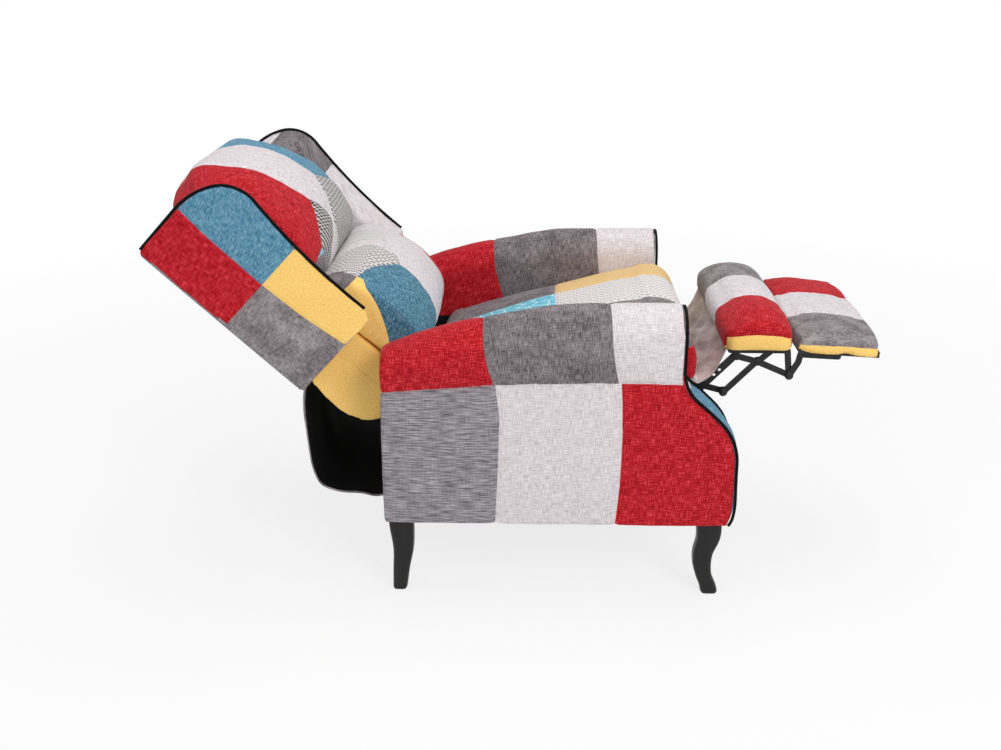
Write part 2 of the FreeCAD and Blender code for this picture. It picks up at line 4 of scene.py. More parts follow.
import bmesh
import bpy
import numpy as np
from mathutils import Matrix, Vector


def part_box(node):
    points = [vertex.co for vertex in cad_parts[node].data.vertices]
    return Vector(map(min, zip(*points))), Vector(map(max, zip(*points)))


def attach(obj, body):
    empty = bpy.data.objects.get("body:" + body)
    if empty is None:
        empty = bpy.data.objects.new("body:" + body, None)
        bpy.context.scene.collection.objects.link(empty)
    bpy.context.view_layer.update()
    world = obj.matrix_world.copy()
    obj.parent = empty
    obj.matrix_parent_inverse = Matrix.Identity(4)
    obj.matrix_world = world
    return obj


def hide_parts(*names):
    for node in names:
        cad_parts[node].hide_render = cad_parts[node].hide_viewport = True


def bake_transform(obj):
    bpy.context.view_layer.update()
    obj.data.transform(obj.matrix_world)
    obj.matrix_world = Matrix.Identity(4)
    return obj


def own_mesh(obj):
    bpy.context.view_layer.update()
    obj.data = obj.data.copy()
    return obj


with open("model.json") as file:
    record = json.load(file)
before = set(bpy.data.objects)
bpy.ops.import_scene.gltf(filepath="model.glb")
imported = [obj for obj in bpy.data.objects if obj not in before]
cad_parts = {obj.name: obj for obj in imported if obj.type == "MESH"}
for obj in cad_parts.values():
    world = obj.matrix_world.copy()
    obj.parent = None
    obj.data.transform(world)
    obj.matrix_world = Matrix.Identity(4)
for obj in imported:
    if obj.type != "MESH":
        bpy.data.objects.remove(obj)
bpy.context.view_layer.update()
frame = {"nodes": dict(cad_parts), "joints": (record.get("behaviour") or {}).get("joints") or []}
nodes = frame["nodes"]
eyes = {joint["name"]: joint["pos_m"] for joint in frame["joints"]}
pivot = Vector(eyes["back_recline"])
print("frame loaded")

# The chair's own directions: the seat and the lower back tilt about one pivot
chair = {"seatAngle": 13.0, "backAngle": 43.0, "outerPadAngle": 3.0, "armMiddle": 0.32}
sides = ("left", "right")


def line(value, table):
    # the height of a drawn line at each value
    return np.interp(value, *np.transpose(table))


class Axes:
    # along and across a tilted part, measured from an origin, with y across the chair
    def __init__(self, origin, along, across):
        self.origin = origin
        self.along = Vector(along)
        self.across = Vector(across)

    def read(self, places):
        reach = places - np.array(self.origin)
        return reach @ np.array(self.along), places[:, 1], reach @ np.array(self.across)

    def spot(self, a, y, b):
        return Vector(self.origin) + self.along * a + self.across * b + Vector((0, y, 0))

    def places(self, a, y, b):
        flat = np.outer(a, self.along) + np.outer(b, self.across) + np.array(self.origin)
        flat[:, 1] = y
        return flat

    def field(self, reading, table, by=0):
        # 0 where one reading meets the line drawn by another
        def field(places):
            values = self.read(places)
            return values[reading] - line(values[by], table)
        return field

    def of(self, drawn):
        # makes a function of the three readings one of places
        return lambda places: drawn(*self.read(places))


def turned(key):
    # the cosine and sine of one of the chair's angles
    angle = math.radians(chair[key])
    return math.cos(angle), math.sin(angle)


worldAxes = Axes((0, 0, 0), (1, 0, 0), (0, 0, 1))
levelAxes = Axes(pivot, (1, 0, 0), (0, 0, 1))
c, s = turned("seatAngle")
seatAxes = Axes(pivot, (c, 0, s), (-s, 0, c))
c, s = turned("backAngle")
backAxes = Axes(pivot, (-c, 0, s), (s, 0, c))
c, s = turned("outerPadAngle")
outerAxes = Axes(eyes["flipper_fold"], (c, 0, -s), (s, 0, c))


# Shader nodes
class Yarn:
    # one socket on its way through a material, so that shader maths reads as an expression
    def __init__(self, loom, socket):
        self.loom = loom
        self.socket = socket

    def maths(self, operation, first, second=None):
        return self.loom.node("Math", {0: first, 1: second}, operation=operation)

    def __add__(self, other):
        return self.maths("ADD", self, other)

    def __sub__(self, other):
        return self.maths("SUBTRACT", self, other)

    def __mul__(self, other):
        return self.maths("MULTIPLY", self, other)

    def __truediv__(self, other):
        return self.maths("DIVIDE", self, other)

    def __lt__(self, other):
        return self.maths("LESS_THAN", self, other)

    def __gt__(self, other):
        return self.maths("GREATER_THAN", self, other)

    def wave(self):
        return self.maths("SINE", self)

    def fraction(self):
        return self.maths("FRACT", self)

    def whole(self):
        return self.maths("FLOOR", self)

    def positive(self):
        return self.maths("ABSOLUTE", self)


class Loom:
    # the nodes of one material, or of the world
    def __init__(self, name, owner=None):
        self.owner = owner or bpy.data.materials.new(name)
        self.owner.use_nodes = True
        self.tree = self.owner.node_tree
        self.tree.nodes.clear()

    def node(self, kind, inputs, output=0, **settings):
        made = self.tree.nodes.new("ShaderNode" + kind)
        for key, value in settings.items():
            setattr(made, key, value)
        for key, value in inputs.items():
            if isinstance(value, Yarn):
                self.tree.links.new(value.socket, made.inputs[key])
            elif value is not None:
                made.inputs[key].default_value = value
        return Yarn(self, made.outputs[output]) if made.outputs else None

    def split(self, place):
        return [self.node("SeparateXYZ", {0: place}, output=i) for i in range(2)]

    def weave(self):
        # where the cloth lies in metres along and across its own threads
        return self.split(self.node("Attribute", {}, output=1, attribute_name="weave"))

    def object(self):
        return self.node("TexCoord", {}, output=3)

    def vector(self, x, y, z=0.0):
        return self.node("CombineXYZ", {0: x, 1: y, 2: z})

    def noise(self, place, scale=1.0, detail=2.0, rough=0.5):
        return self.node("TexNoise", {"Vector": place, "Scale": scale, "Detail": detail, "Roughness": rough})

    def grain(self, scale, detail=2.0):
        # noise drawn out along one of the object's own directions
        return self.noise(self.node("Mapping", {"Vector": self.object(), "Scale": scale}), detail=detail)

    def ramp(self, value, spots, codes):
        made = self.node("ValToRGB", {0: value})
        elements = made.socket.node.color_ramp.elements
        while len(elements) < len(codes):
            elements.new(1.0)
        for element, spot, code in zip(elements, spots, codes):
            element.position = spot
            element.color = paint(code)
        return made

    def mix(self, first, code, share):
        return self.node("Mix", {0: share, 6: first, 7: paint(code)}, output=2, data_type="RGBA")

    def end(self, shader, kind="OutputMaterial"):
        self.node(kind, {0: shader})
        return self.owner

    def finish(self, colour, height, bump=0.3, depth=0.0008, rough=0.9, rest=None):
        # rest is set on the shader's other sockets
        normal = self.node("Bump", {"Strength": bump, "Distance": depth, "Height": height})
        inputs = {"Base Color": colour, "Roughness": rough, "Normal": normal, **(rest or {})}
        return self.end(self.node("BsdfPrincipled", inputs))


def paint(code):
    # a hex colour as linear light
    values = [int(code[i:i + 2], 16) / 255 for i in (1, 3, 5)]
    return (*[v / 12.92 if v <= 0.04045 else ((v + 0.055) / 1.055) ** 2.4 for v in values], 1.0)


sheen = {"Sheen Weight": 0.06, "Sheen Roughness": 0.5, "Specular IOR Level": 0.12}
threadLook = {"toneSpots": (0.36, 0.5, 0.64), "knots": 0.3, "slubs": 2.0, "fleckSpots": (0.53, 0.68),
              "fleckAlong": 60, "fleckAcross": 420}
denim = {"along": 70, "across": 540, "warp": 0.45, "pitch": 0.0018, "cloud": 30}
twill = {"along": 260, "across": 700, "warp": 0.5, "pitch": 0.0016, "blotch": 0.06, "cloud": 24}
linens = {
    "redLinen": {"tones": ("#860a14", "#b2131e", "#dc464f"), "along": 55, "across": 540, "warp": 0.5,
                 "pitch": 0.0021, "blotch": 0.10, "cloud": 40},
    "beigeLinen": {"tones": ("#bab0b3", "#d5cdd0", "#ebe5e8"), "along": 50, "across": 560, "warp": 0.5,
                   "pitch": 0.0020, "blotch": 0.05, "cloud": 40},
    "blueDenim": {**denim, "tones": ("#2c6280", "#4d839f", "#82b0c3"), "blotch": 0.12, "fleck": 0.60,
                  "ink": "#9cc0cf"},
    "tealDenim": {**denim, "tones": ("#1d4a61", "#3d6f88", "#74a6b9"), "blotch": 0.10, "fleck": 0.80,
                  "ink": "#93bccb"},
    "yellowTwill": {**twill, "tones": ("#eab558", "#facd72", "#ffe298")},
    # the seat top's yellow: the twill's own yellow made paler and duller, with painted reflection of the
    # light on the seat
    "honeyTwill": {**twill, "tones": ("#cda666", "#dfba7e", "#eed09e")},
    "ashMelange": {"tones": ("#5e595e", "#8b868b", "#b0abaf"), "along": 30, "across": 460, "warp": 0.82,
                   "pitch": 0.0022, "blotch": 0.12, "cloud": 20},
    "slateMelange": {"tones": ("#4e474a", "#766e71", "#968e91"), "along": 60, "across": 460, "warp": 0.38,
                     "pitch": 0.0022, "blotch": 0.34, "cloud": 22},
    "grayVelour": {"tones": ("#5e585b", "#857e80", "#a49d9f"), "along": 70, "across": 460, "warp": 0.45,
                   "pitch": 0.0022, "blotch": 0.45, "cloud": 20},
}


def linen(name, look):
    # slubby threads both ways: long thin streaks of noise, with larger soft clouds
    loom = Loom(name)
    a, b = loom.weave()
    warp = loom.noise(loom.vector(a * look["along"], b * look["across"]))
    weft = loom.noise(loom.vector(a * look["across"], b * look["along"], 7.0))
    cloud = loom.noise(loom.vector(a, b, 3.0), look["cloud"], 4.0)
    thread = warp * look["warp"] + weft * (1 - look["warp"]) + (cloud - 0.5) * look["blotch"]
    colour = loom.ramp(thread, threadLook["toneSpots"], look["tones"])
    if "fleck" in look:
        slant = loom.vector((a + b) * threadLook["fleckAlong"], (a - b) * threadLook["fleckAcross"], 9.0)
        fleck = loom.ramp(loom.noise(slant, detail=3.0), threadLook["fleckSpots"], ("#000000", "#ffffff"))
        colour = loom.mix(colour, look["ink"], fleck * look["fleck"])
    turn = 2 * math.pi / look["pitch"]
    height = (a * turn).wave() * (b * turn).wave() * threadLook["knots"] + thread * threadLook["slubs"]
    return loom.finish(colour, height, depth=0.0007, rest=sheen)


def inked(loom, a, b, look, mark):
    # a woven pattern's ink on its plain ground
    fine = loom.noise(loom.vector(a * 700, b * 700), detail=1.0)
    body = loom.ramp(fine, (0.35, 0.65), look["ground"])
    colour = loom.mix(body, look["ink"], mark * look["depth"])
    return loom.finish(colour, mark * look["relief"] + fine, rest=sheen)


def dashes(name, look):
    # rows of short woven dashes along a, each row set part of a dash on from the last
    loom = Loom(name)
    a, b = loom.weave()
    sway = loom.noise(loom.vector(a, b), look["swayScale"], 1.0) - 0.5
    row = (b + sway * look["sway"] + a * look["slope"]) / look["pitch"]
    slant = (row.fraction() - 0.5) * look["slant"]
    loose = loom.noise(loom.vector(row.whole() * 3.7, 0.0)) * look["loose"]
    along = a / look["length"] + row.whole() * 0.5 + slant + loose
    mark = (along.fraction() < look["share"]) * ((row.fraction() - 0.5).positive() < look["thick"])
    return inked(loom, a, b, look, mark)


def chainRows(name):
    # dark zigzag rows on a pale ground, like a woven chain, with dots between them
    look = {"pitch": 0.0120, "swing": 0.0022, "wave": 0.0085, "thick": 0.20, "dot": 0.16, "between": 0.36,
            "ground": ("#cfcacb", "#ebe7e7"), "ink": "#1d1c1e", "depth": 1.0, "relief": 0.5}
    loom = Loom(name)
    a, b = loom.weave()
    saw = ((a / look["wave"]).fraction() - 0.5).positive() * 4 - 1
    away = (((b + saw * look["swing"]) / look["pitch"]).fraction() - 0.5).positive()
    dot = ((a / look["wave"] + 0.25).fraction() - 0.5).positive() < look["dot"]
    mark = away.maths("MAXIMUM", away < look["thick"], dot * (away > look["between"]))
    return inked(loom, a, b, look, mark)


def crackle(name):
    # blue ground broken into cells by thin white lines
    look = {"cells": (26, 34), "thin": 0.026, "ink": "#e6f1f1", "tones": ("#4aa3bd", "#68b9cf", "#a8dbe4")}
    loom = Loom(name)
    a, b = loom.weave()
    cells = {"Vector": loom.vector(a * look["cells"][0], b * look["cells"][1]), "Scale": 1.0}
    edge = loom.node("TexVoronoi", cells, feature="DISTANCE_TO_EDGE", voronoi_dimensions="2D")
    vein = loom.noise(loom.vector(a * 60, b * 300), detail=4.0)
    colour = loom.mix(loom.ramp(vein, (0.36, 0.52, 0.70), look["tones"]), look["ink"], edge < look["thin"])
    return loom.finish(colour, vein, 0.2, 0.0006, rest=sheen)


def plainCloth(name, *tones):
    loom = Loom(name)
    grain = loom.noise(loom.object(), 600.0, 3.0)
    soft = loom.noise(loom.object(), 18.0, 3.0)
    colour = loom.ramp(grain * 0.6 + soft * 0.4, (0.35, 0.65), tones)
    return loom.finish(colour, grain, 0.4, rough=0.95, rest={"Specular IOR Level": 0.15})


def velvetWeb(name):
    # thin brushed cloth: soft creases, with painted sheen on the folds and painted shade in the creases, and
    # a fine nap grain
    loom = Loom(name)
    a, b = loom.weave()
    creaseAndSheen = loom.noise(loom.vector(a * 13 + b * 16, b * 12), detail=6.0, rough=0.55)
    nap = loom.noise(loom.vector(a * 300, b * 300))
    # painted sheen on the folds and painted shade in the creases: the colour follows the same noise as the
    # folds
    colour = loom.ramp(creaseAndSheen * 0.85 + nap * 0.15, (0.38, 0.50, 0.60), ("#6f5f57", "#a08f88", "#d2c6c2"))
    return loom.finish(colour, creaseAndSheen, 0.6, 0.004, 0.6, {"Sheen Weight": 0.6})


def blackLacquer(name):
    loom = Loom(name)
    grain = loom.grain((60, 60, 6), 5.0)
    worn = loom.noise(loom.object(), 40.0, 3.0)
    colour = loom.ramp(grain, (0.3, 0.7), ("#0a0909", "#151312"))
    return loom.finish(colour, grain, 0.15, 0.0006, worn * 0.25 + 0.3,
                       {"Coat Weight": 0.1, "Specular IOR Level": 0.3})


def stainedBoard(name, *tones):
    # thin plywood: grain along x with short pores
    loom = Loom(name)
    rings = loom.grain((5, 70, 70), 6.0)
    pores = loom.grain((30, 900, 900))
    colour = loom.ramp(rings * 0.75 + pores * 0.25, (0.35, 0.5, 0.65), tones)
    return loom.finish(colour, rings, 0.2, rough=pores * 0.3 + 0.5)


def paintedSteel(name):
    # black powder coat: a fine orange peel, a few duller scuffs
    loom = Loom(name)
    peel = loom.noise(loom.object(), 900.0)
    scuff = loom.noise(loom.object(), 55.0, 6.0, 0.7)
    colour = loom.ramp(scuff, (0.45, 0.72), ("#101011", "#29282a"))
    return loom.finish(colour, peel, 0.12, 0.0004, scuff * 0.35 + 0.25, {"Metallic": 0.3})


def brightSteel(name):
    loom = Loom(name)
    drawn = loom.grain((900, 12, 900))
    colour = loom.ramp(drawn, (0.3, 0.7), ("#8a8a8d", "#bdbdc0"))
    return loom.finish(colour, drawn, 0.1, 0.0002, drawn * 0.2 + 0.22, {"Metallic": 0.95})


def webbing(name):
    # woven strap: ribs across its run
    loom = Loom(name)
    x, y = loom.split(loom.object())
    rib = (x * 2400).wave() * (y * 1600).wave()
    colour = loom.ramp(rib * 0.5 + 0.5, (0.2, 0.8), ("#2a2a2c", "#565457"))
    return loom.finish(colour, rib, 0.4)


palePattern = {"pitch": 0.0112, "length": 0.0150, "share": 0.72, "slant": 0.3, "sway": 0.004, "swayScale": 24,
               "slope": 0.12, "loose": 0.3, "relief": 0.4}
patterns = {
    "blackRows": {"ground": ("#c4bfbf", "#dfdbdb"), "ink": "#0e0d0f", "pitch": 0.0125, "length": 0.0072,
                  "share": 0.76, "thick": 0.36, "slant": 0.9, "sway": 0.001, "swayScale": 30, "slope": 0.0,
                  "loose": 0.0, "depth": 1.0, "relief": 0.4},
    "grayDashes": {**palePattern, "ground": ("#cbc5c6", "#e2dddd"), "ink": "#5d5556", "thick": 0.25,
                   "depth": 0.85},
    "paleDashes": {**palePattern, "ground": ("#cec8c9", "#e2dddd"), "ink": "#8c8485", "thick": 0.22,
                   "depth": 0.6},
    "speckle": {"ground": ("#d2cccb", "#e6e2e1"), "ink": "#7f787a", "pitch": 0.0090, "length": 0.0150,
                "share": 0.34, "thick": 0.17, "slant": 0.2, "sway": 0.005, "swayScale": 30, "slope": 0.1,
                "loose": 0.9, "depth": 0.95, "relief": 0.4},
}
# the web's pale edge cloth is partly a frayed hem and partly painted sheen where light catches its near edge
plainCloths = {"paleHem": ("#b9ada8", "#e0d8d4"), "pipingCloth": ("#050506", "#121113"),
               "blackLining": ("#040404", "#0c0c0d")}
cloths = {name: linen(name, look) for name, look in linens.items()}
cloths.update({name: dashes(name, look) for name, look in patterns.items()})
cloths.update({name: plainCloth(name, *tones) for name, tones in plainCloths.items()})
cloths.update({make.__name__: make(make.__name__) for make in (chainRows, crackle, velvetWeb)})
hard = {"blackLacquer": blackLacquer("blackLacquer"), "steel": paintedSteel("steel"),
        "plywood": stainedBoard("plywood", "#a57b4c", "#c59a66", "#dab784"),
        "blackBoard": stainedBoard("blackBoard", "#0c0b0b", "#151413", "#1f1d1c"),
        "brightSteel": brightSteel("brightSteel"), "webbing": webbing("webbing")}
print("materials made")


# Mesh tools
def addPiece(name, mesh):
    piece = bpy.data.objects.new(name, mesh)
    bpy.context.scene.collection.objects.link(piece)
    return piece


def pieceFrom(name, work, *materials):
    # the work mesh as a piece in these materials
    mesh = bpy.data.meshes.new(name)
    work.to_mesh(mesh)
    work.free()
    for material in materials:
        mesh.materials.append(material)
    return addPiece(name, mesh)


def settle(piece):
    # the piece's modifiers become its own mesh
    graph = bpy.context.evaluated_depsgraph_get()
    fresh = bpy.data.meshes.new_from_object(piece.evaluated_get(graph))
    piece.modifiers.clear()
    piece.data = fresh


def vectors(rows, key):
    flat = np.empty(len(rows) * 3)
    rows.foreach_get(key, flat)
    return flat.reshape(-1, 3)


def pointsOf(piece):
    return vectors(piece.data.vertices, "co")


def normalsOf(piece):
    return vectors(piece.data.vertex_normals, "vector")


def movePoints(piece, places):
    piece.data.vertices.foreach_set("co", places.ravel())
    piece.data.update()


def smooth01(value):
    value = np.clip(value, 0, 1)
    return value * value * (3 - 2 * value)


def eased(value, span):
    # 0 at the span's start and 1 past its width, which may run downwards
    start, width = span
    return smooth01((value - start) / width)


def ripple(places, size, seed):
    # soft waves in random directions, from about -1 to 1 and about size metres long
    random = np.random.default_rng(seed)
    total = np.zeros(len(places))
    count = 7
    for _ in range(count):
        way = random.normal(size=3)
        way *= 2 * math.pi / (size * random.uniform(0.7, 1.5) * np.linalg.norm(way))
        total += np.sin(places @ way + random.uniform(0, 2 * math.pi))
    return total / count * 1.6


def relax(piece, weight, rounds):
    # evens out the points where weight is above 0
    ends = np.empty(len(piece.data.edges) * 2, np.int32)
    piece.data.edges.foreach_get("vertices", ends)
    first, second = ends.reshape(-1, 2).T
    places = pointsOf(piece)
    count = np.bincount(ends, minlength=len(places))
    for _ in range(rounds):
        for axis in range(3):
            column = places[:, axis]
            total = (np.bincount(first, weights=column[second], minlength=len(places))
                     + np.bincount(second, weights=column[first], minlength=len(places)))
            places[:, axis] = column + weight * (total / count - column)
    movePoints(piece, places)


def skinOf(name, names, voxel, smoothing, inset=0.0):
    # one closed skin round the solids of these nodes
    work = bmesh.new()
    for node in names:
        work.from_mesh(nodes[node].data)
    bmesh.ops.remove_doubles(work, verts=work.verts, dist=0.00002)
    piece = pieceFrom(name, work)
    cut = piece.modifiers.new("voxels", "REMESH")
    cut.mode = "VOXEL"
    cut.voxel_size = voxel
    soften = piece.modifiers.new("soften", "SMOOTH")
    soften.factor = 0.5
    soften.iterations = smoothing
    settle(piece)
    if inset:
        movePoints(piece, pointsOf(piece) - normalsOf(piece) * inset)
    return piece


def refine(piece):
    finer = piece.modifiers.new("finer", "SUBSURF")
    finer.levels = 1
    settle(piece)


clothLook = {"quality": 5, "stretch": 12, "bend": 0.4, "steps": 20, "quickShare": 0.7}


def swell(piece, look, keepIn):
    # the filling pushes the cloth out, and no point goes further than the cap
    start, outward = pointsOf(piece), normalsOf(piece)
    swelling = piece.modifiers.new("swell", "CLOTH")
    settings = swelling.settings
    settings.quality = clothLook["quality"]
    settings.use_pressure = True
    settings.uniform_pressure_force = look["pressure"]
    settings.tension_stiffness = clothLook["stretch"]
    settings.compression_stiffness = clothLook["stretch"]
    settings.bending_stiffness = clothLook["bend"]
    settings.effector_weights.gravity = 0
    swelling.collision_settings.use_collision = False
    scene = bpy.context.scene
    for step in range(clothLook["steps"]):
        scene.frame_set(step + 1)
    settle(piece)
    scene.frame_set(1)
    # the filling holds every point out by its least share of the cap, corners too
    moved = pointsOf(piece) - start
    lack = look["least"] * look["cap"] - (moved * outward).sum(axis=1)
    moved += outward * np.maximum(lack, 0)[:, None]
    length = np.linalg.norm(moved, axis=1)
    share = np.where(length > look["cap"], look["cap"] / np.maximum(length, 1e-9), 1.0)
    movePoints(piece, start + moved * share[:, None])
    relax(piece, np.full(len(start), 0.5), look["calm"])
    print("swelled", piece.name, "by up to", round(float(length.max()) * 1000, 1), "mm")
    refine(piece)
    movePoints(piece, keepIn(pointsOf(piece)))


def roughen(piece, dents, where=1.0):
    # soft dents of several sizes, each with its depth and a seed of its own
    places = pointsOf(piece)
    dent = sum(depth * ripple(places, size, seed) for size, depth, seed in dents) * where
    movePoints(piece, places + normalsOf(piece) * dent[:, None])


def plump(name, node, axes, look, keepIn):
    # a filled cushion in its node's place, with soft dents where it shows
    piece = skinOf(name, [node], look["voxel"], look["smoothing"], look["inset"])
    swell(piece, look, keepIn)
    roughen(piece, look["dents"], axes.read(pointsOf(piece))[2] > look["dentsAbove"])
    return piece


seamLook = {"depth": 0.0022, "width": 0.0050, "puff": 0.0012, "puffWidth": 0.03, "pucker": 0.0005,
            "puckerSize": 0.016, "puckerWidth": 0.014}


def everywhere(places):
    return np.ones(len(places), bool)


def seam(field, where=everywhere, **look):
    # a seam runs where its field is 0, as far as where allows
    return {**seamLook, **look, "field": field, "where": where}


def cutSeam(work, look):
    # new edges along the seam's line
    work.verts.index_update()
    places = np.array([vert.co for vert in work.verts])
    values = look["field"](places)
    allowed = look["where"](places)
    fresh = []
    for edge in list(work.edges):
        first, second = edge.verts
        low, high = values[first.index], values[second.index]
        if low * high < 0 and allowed[first.index] and allowed[second.index]:
            fresh.append(bmesh.utils.edge_split(edge, first, low / (low - high))[1])
    bmesh.ops.connect_verts(work, verts=fresh, check_degenerate=False)


def sew(piece, seams, names, choose, seed):
    # cuts the patches apart, gives each its cloth, and draws every seam in with small puckers beside it
    for name in names:
        piece.data.materials.append(cloths[name])
    work = bmesh.new()
    work.from_mesh(piece.data)
    for look in seams:
        cutSeam(work, look)
    work.to_mesh(piece.data)
    work.free()
    faces = piece.data.polygons
    cloth = choose(vectors(faces, "center"), vectors(faces, "normal"))
    faces.foreach_set("material_index", cloth.astype(np.int32))
    places = pointsOf(piece)
    drop = np.zeros(len(places))
    for look in seams:
        away = np.abs(look["field"](places))
        dip = look["depth"] * np.exp(-(away / look["width"]) ** 2)
        puff = look["puff"] * np.exp(-(away / look["puffWidth"]) ** 2)
        waves = look["pucker"] * ripple(places, look["puckerSize"], seed)
        pucker = waves * np.exp(-(away / look["puckerWidth"]) ** 2)
        drop = np.maximum(drop, np.where(look["where"](places), dip + puff + pucker, 0))
    movePoints(piece, places - normalsOf(piece) * drop[:, None])


def dress(piece, weave):
    # gives every point its place along the threads
    piece.data.polygons.foreach_set("use_smooth", np.ones(len(piece.data.polygons), bool))
    a, b = weave(pointsOf(piece), normalsOf(piece))
    attribute = piece.data.attributes.new("weave", "FLOAT_VECTOR", "POINT")
    attribute.data.foreach_set("vector", np.column_stack([a, b, np.zeros(len(a))]).astype(np.float32).ravel())
    piece.data.update()


def bands(places, *fields):
    # how many of these seams each place lies past
    return sum((field(places) > 0).astype(int) for field in fields)


def pick(table, row, column):
    # a cloth's number from a table of rows, at each face
    return np.array(table)[row, column]


def wrapped(value, drop, low, high):
    # a thread coordinate that goes on down the ends, where the surface turns over
    blend = 0.03
    return value + drop * smooth01((value - high) / blend) - drop * smooth01((low - value) / blend)


def threadsOver(axes, look):
    # the threads run along and across a cushion's top and go on down its sides
    def weave(places, facing):
        a, y, b = axes.read(places)
        drop = look["crown"] - b
        return wrapped(a, drop, *look["wrapAlong"]), wrapped(y, drop, *look["wrapAcross"])
    return weave


def twoLayers(spot, rows, columns):
    # two layers of points, each a grid of faces, wound opposite ways
    work = bmesh.new()
    layers = [[[work.verts.new(spot(layer, i, j)) for j in range(columns + 1)] for i in range(rows + 1)]
              for layer in (0, 1)]
    for layer, made in enumerate(layers):
        for low, high in zip(made, made[1:]):
            for a, b, c, d in zip(low, low[1:], high[1:], high):
                work.faces.new((a, b, c, d) if layer == 0 else (d, c, b, a))
    return work, layers


def ringed(name, spots, material):
    # a closed piece through rings of points, smooth but for its two flat ends
    work = bmesh.new()
    rings = [[work.verts.new(spot) for spot in ring] for ring in spots]
    for lower, upper in zip(rings, rings[1:]):
        for a, b, c, d in zip(lower, lower[1:] + lower[:1], upper[1:] + upper[:1], upper):
            work.faces.new((a, b, c, d))
    work.faces.new(rings[0][::-1])
    work.faces.new(rings[-1])
    bmesh.ops.recalc_face_normals(work, faces=work.faces)
    piece = pieceFrom(name, work, material)
    faces = piece.data.polygons
    faces.foreach_set("use_smooth", [len(face.vertices) == 4 for face in faces])
    return piece


def place(piece, body, slot, *replaced, fill=None):
    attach(piece, body)
    if replaced:
        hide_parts(*replaced)


# Arms: rolled tops, flat sides, S-shaped fronts
armLook = {"voxel": 0.0060, "dents": [(0.14, 0.0010, 11), (0.05, 0.0004, 12)],
           "rowHeight": 0.4925, "rowBow": 0.103, "rowCentre": 0.2,
           "upperRear": (-0.058, -0.17, 0.484, -0.006), "upperFront": (0.189, -0.12, 0.49, -0.004),
           "lowerRear": [(0.18, -0.056), (0.30, -0.0505), (0.42, -0.0470), (0.49, -0.0555)],
           "lowerFront": 0.199, "lowerBow": (0.28, 0.36), "rollRadius": 0.058, "rollHeight": 0.118,
           "rollPuff": 0.009, "sidePuff": 0.003, "outside": (0.345, 0.02), "frontEnd": (0.305, -0.06),
           "rearEnd": (-0.262, 0.05), "halfWidth": 0.054, "frontPuff": 0.010, "frontStart": (0.25, 0.03),
           "frontTop": (0.465, -0.05), "frontHalf": 0.0535, "frontBlue": 0.458, "frontBeige": 0.466,
           "frontCrest": 0.53, "hem": (0.202, -0.016), "hemDrop": 0.004, "cornerOut": 0.0028,
           "cornerIn": 0.0030, "cornerTop": (0.452, -0.012), "cornerSide": (0.040, 0.014),
           "cornerFront": (0.27, 0.04), "rearFace": -0.272, "rearDrop": 0.009,
           "rearSlope": (0.09, -0.14), "rearRise": (0.40, 0.10), "threadTop": 0.584}


def armRow(places):
    bow = armLook["rowBow"] * (places[:, 0] - armLook["rowCentre"]) ** 2
    return places[:, 2] - armLook["rowHeight"] + bow


def upperLine(key):
    foot, slope, level, bow = armLook[key]

    def field(places):
        rise = places[:, 2] - level
        return places[:, 0] - foot - slope * rise - bow * np.sin(np.pi * np.clip(rise / 0.14, 0, 1))
    return field


upperRear = upperLine("upperRear")
upperFront = upperLine("upperFront")
lowerRear = worldAxes.field(0, armLook["lowerRear"], by=2)


def lowerFront(places):
    bow, level = armLook["lowerBow"]
    return places[:, 0] - armLook["lowerFront"] + bow * (places[:, 2] - level) ** 2


def armOuter(places):
    return np.abs(places[:, 1]) > chair["armMiddle"]


def armUpper(places):
    return (armRow(places) > -0.0005) | ~armOuter(places)


def armLower(places):
    return (armRow(places) < 0.0005) & armOuter(places)


def armFront(centres, facing):
    between = np.abs(np.abs(centres[:, 1]) - chair["armMiddle"]) < armLook["frontHalf"]
    return (facing[:, 0] > 0.4) & (np.abs(facing[:, 1]) < 0.75) & (centres[:, 0] > 0.25) & between


def fillArm(piece):
    # the roll, the side and the front swell, and the edges meet their piping
    look = armLook
    places = pointsOf(piece)
    x, y, z = places.T
    rise = (z - look["rowHeight"]) / look["rollHeight"]
    ends = eased(x, look["frontEnd"]) * eased(x, look["rearEnd"])
    roll = look["rollPuff"] * np.sin(np.pi * np.clip(rise, 0, 1)) ** 0.8
    flat = look["sidePuff"] * np.sin(np.pi * np.clip((z - 0.185) / 0.305, 0, 1)) ** 0.6
    push = np.where(rise > 0, roll, flat) * ends * eased(np.abs(y), look["outside"])
    places[:, 1] += np.sign(y) * push
    crown = 1 - np.clip((np.abs(y) - chair["armMiddle"]) / look["halfWidth"], -1, 1) ** 2
    front = eased(x, look["frontStart"]) * eased(z, look["frontTop"])
    places[:, 0] += look["frontPuff"] * crown * front * np.maximum(normalsOf(piece)[:, 0], 0)
    places[:, 2] -= look["hemDrop"] * eased(z, look["hem"])
    # the inner front corner comes up to its piping
    corner = eased(chair["armMiddle"] - np.abs(y), look["cornerSide"]) * eased(x, look["cornerFront"])
    corner = corner * eased(z, look["cornerTop"])
    places[:, 0] += look["cornerOut"] * corner
    places[:, 1] -= np.sign(y) * look["cornerIn"] * corner
    places[:, 2] -= look["rearDrop"] * eased(x, look["rearSlope"]) * eased(z, look["rearRise"])
    movePoints(piece, places)


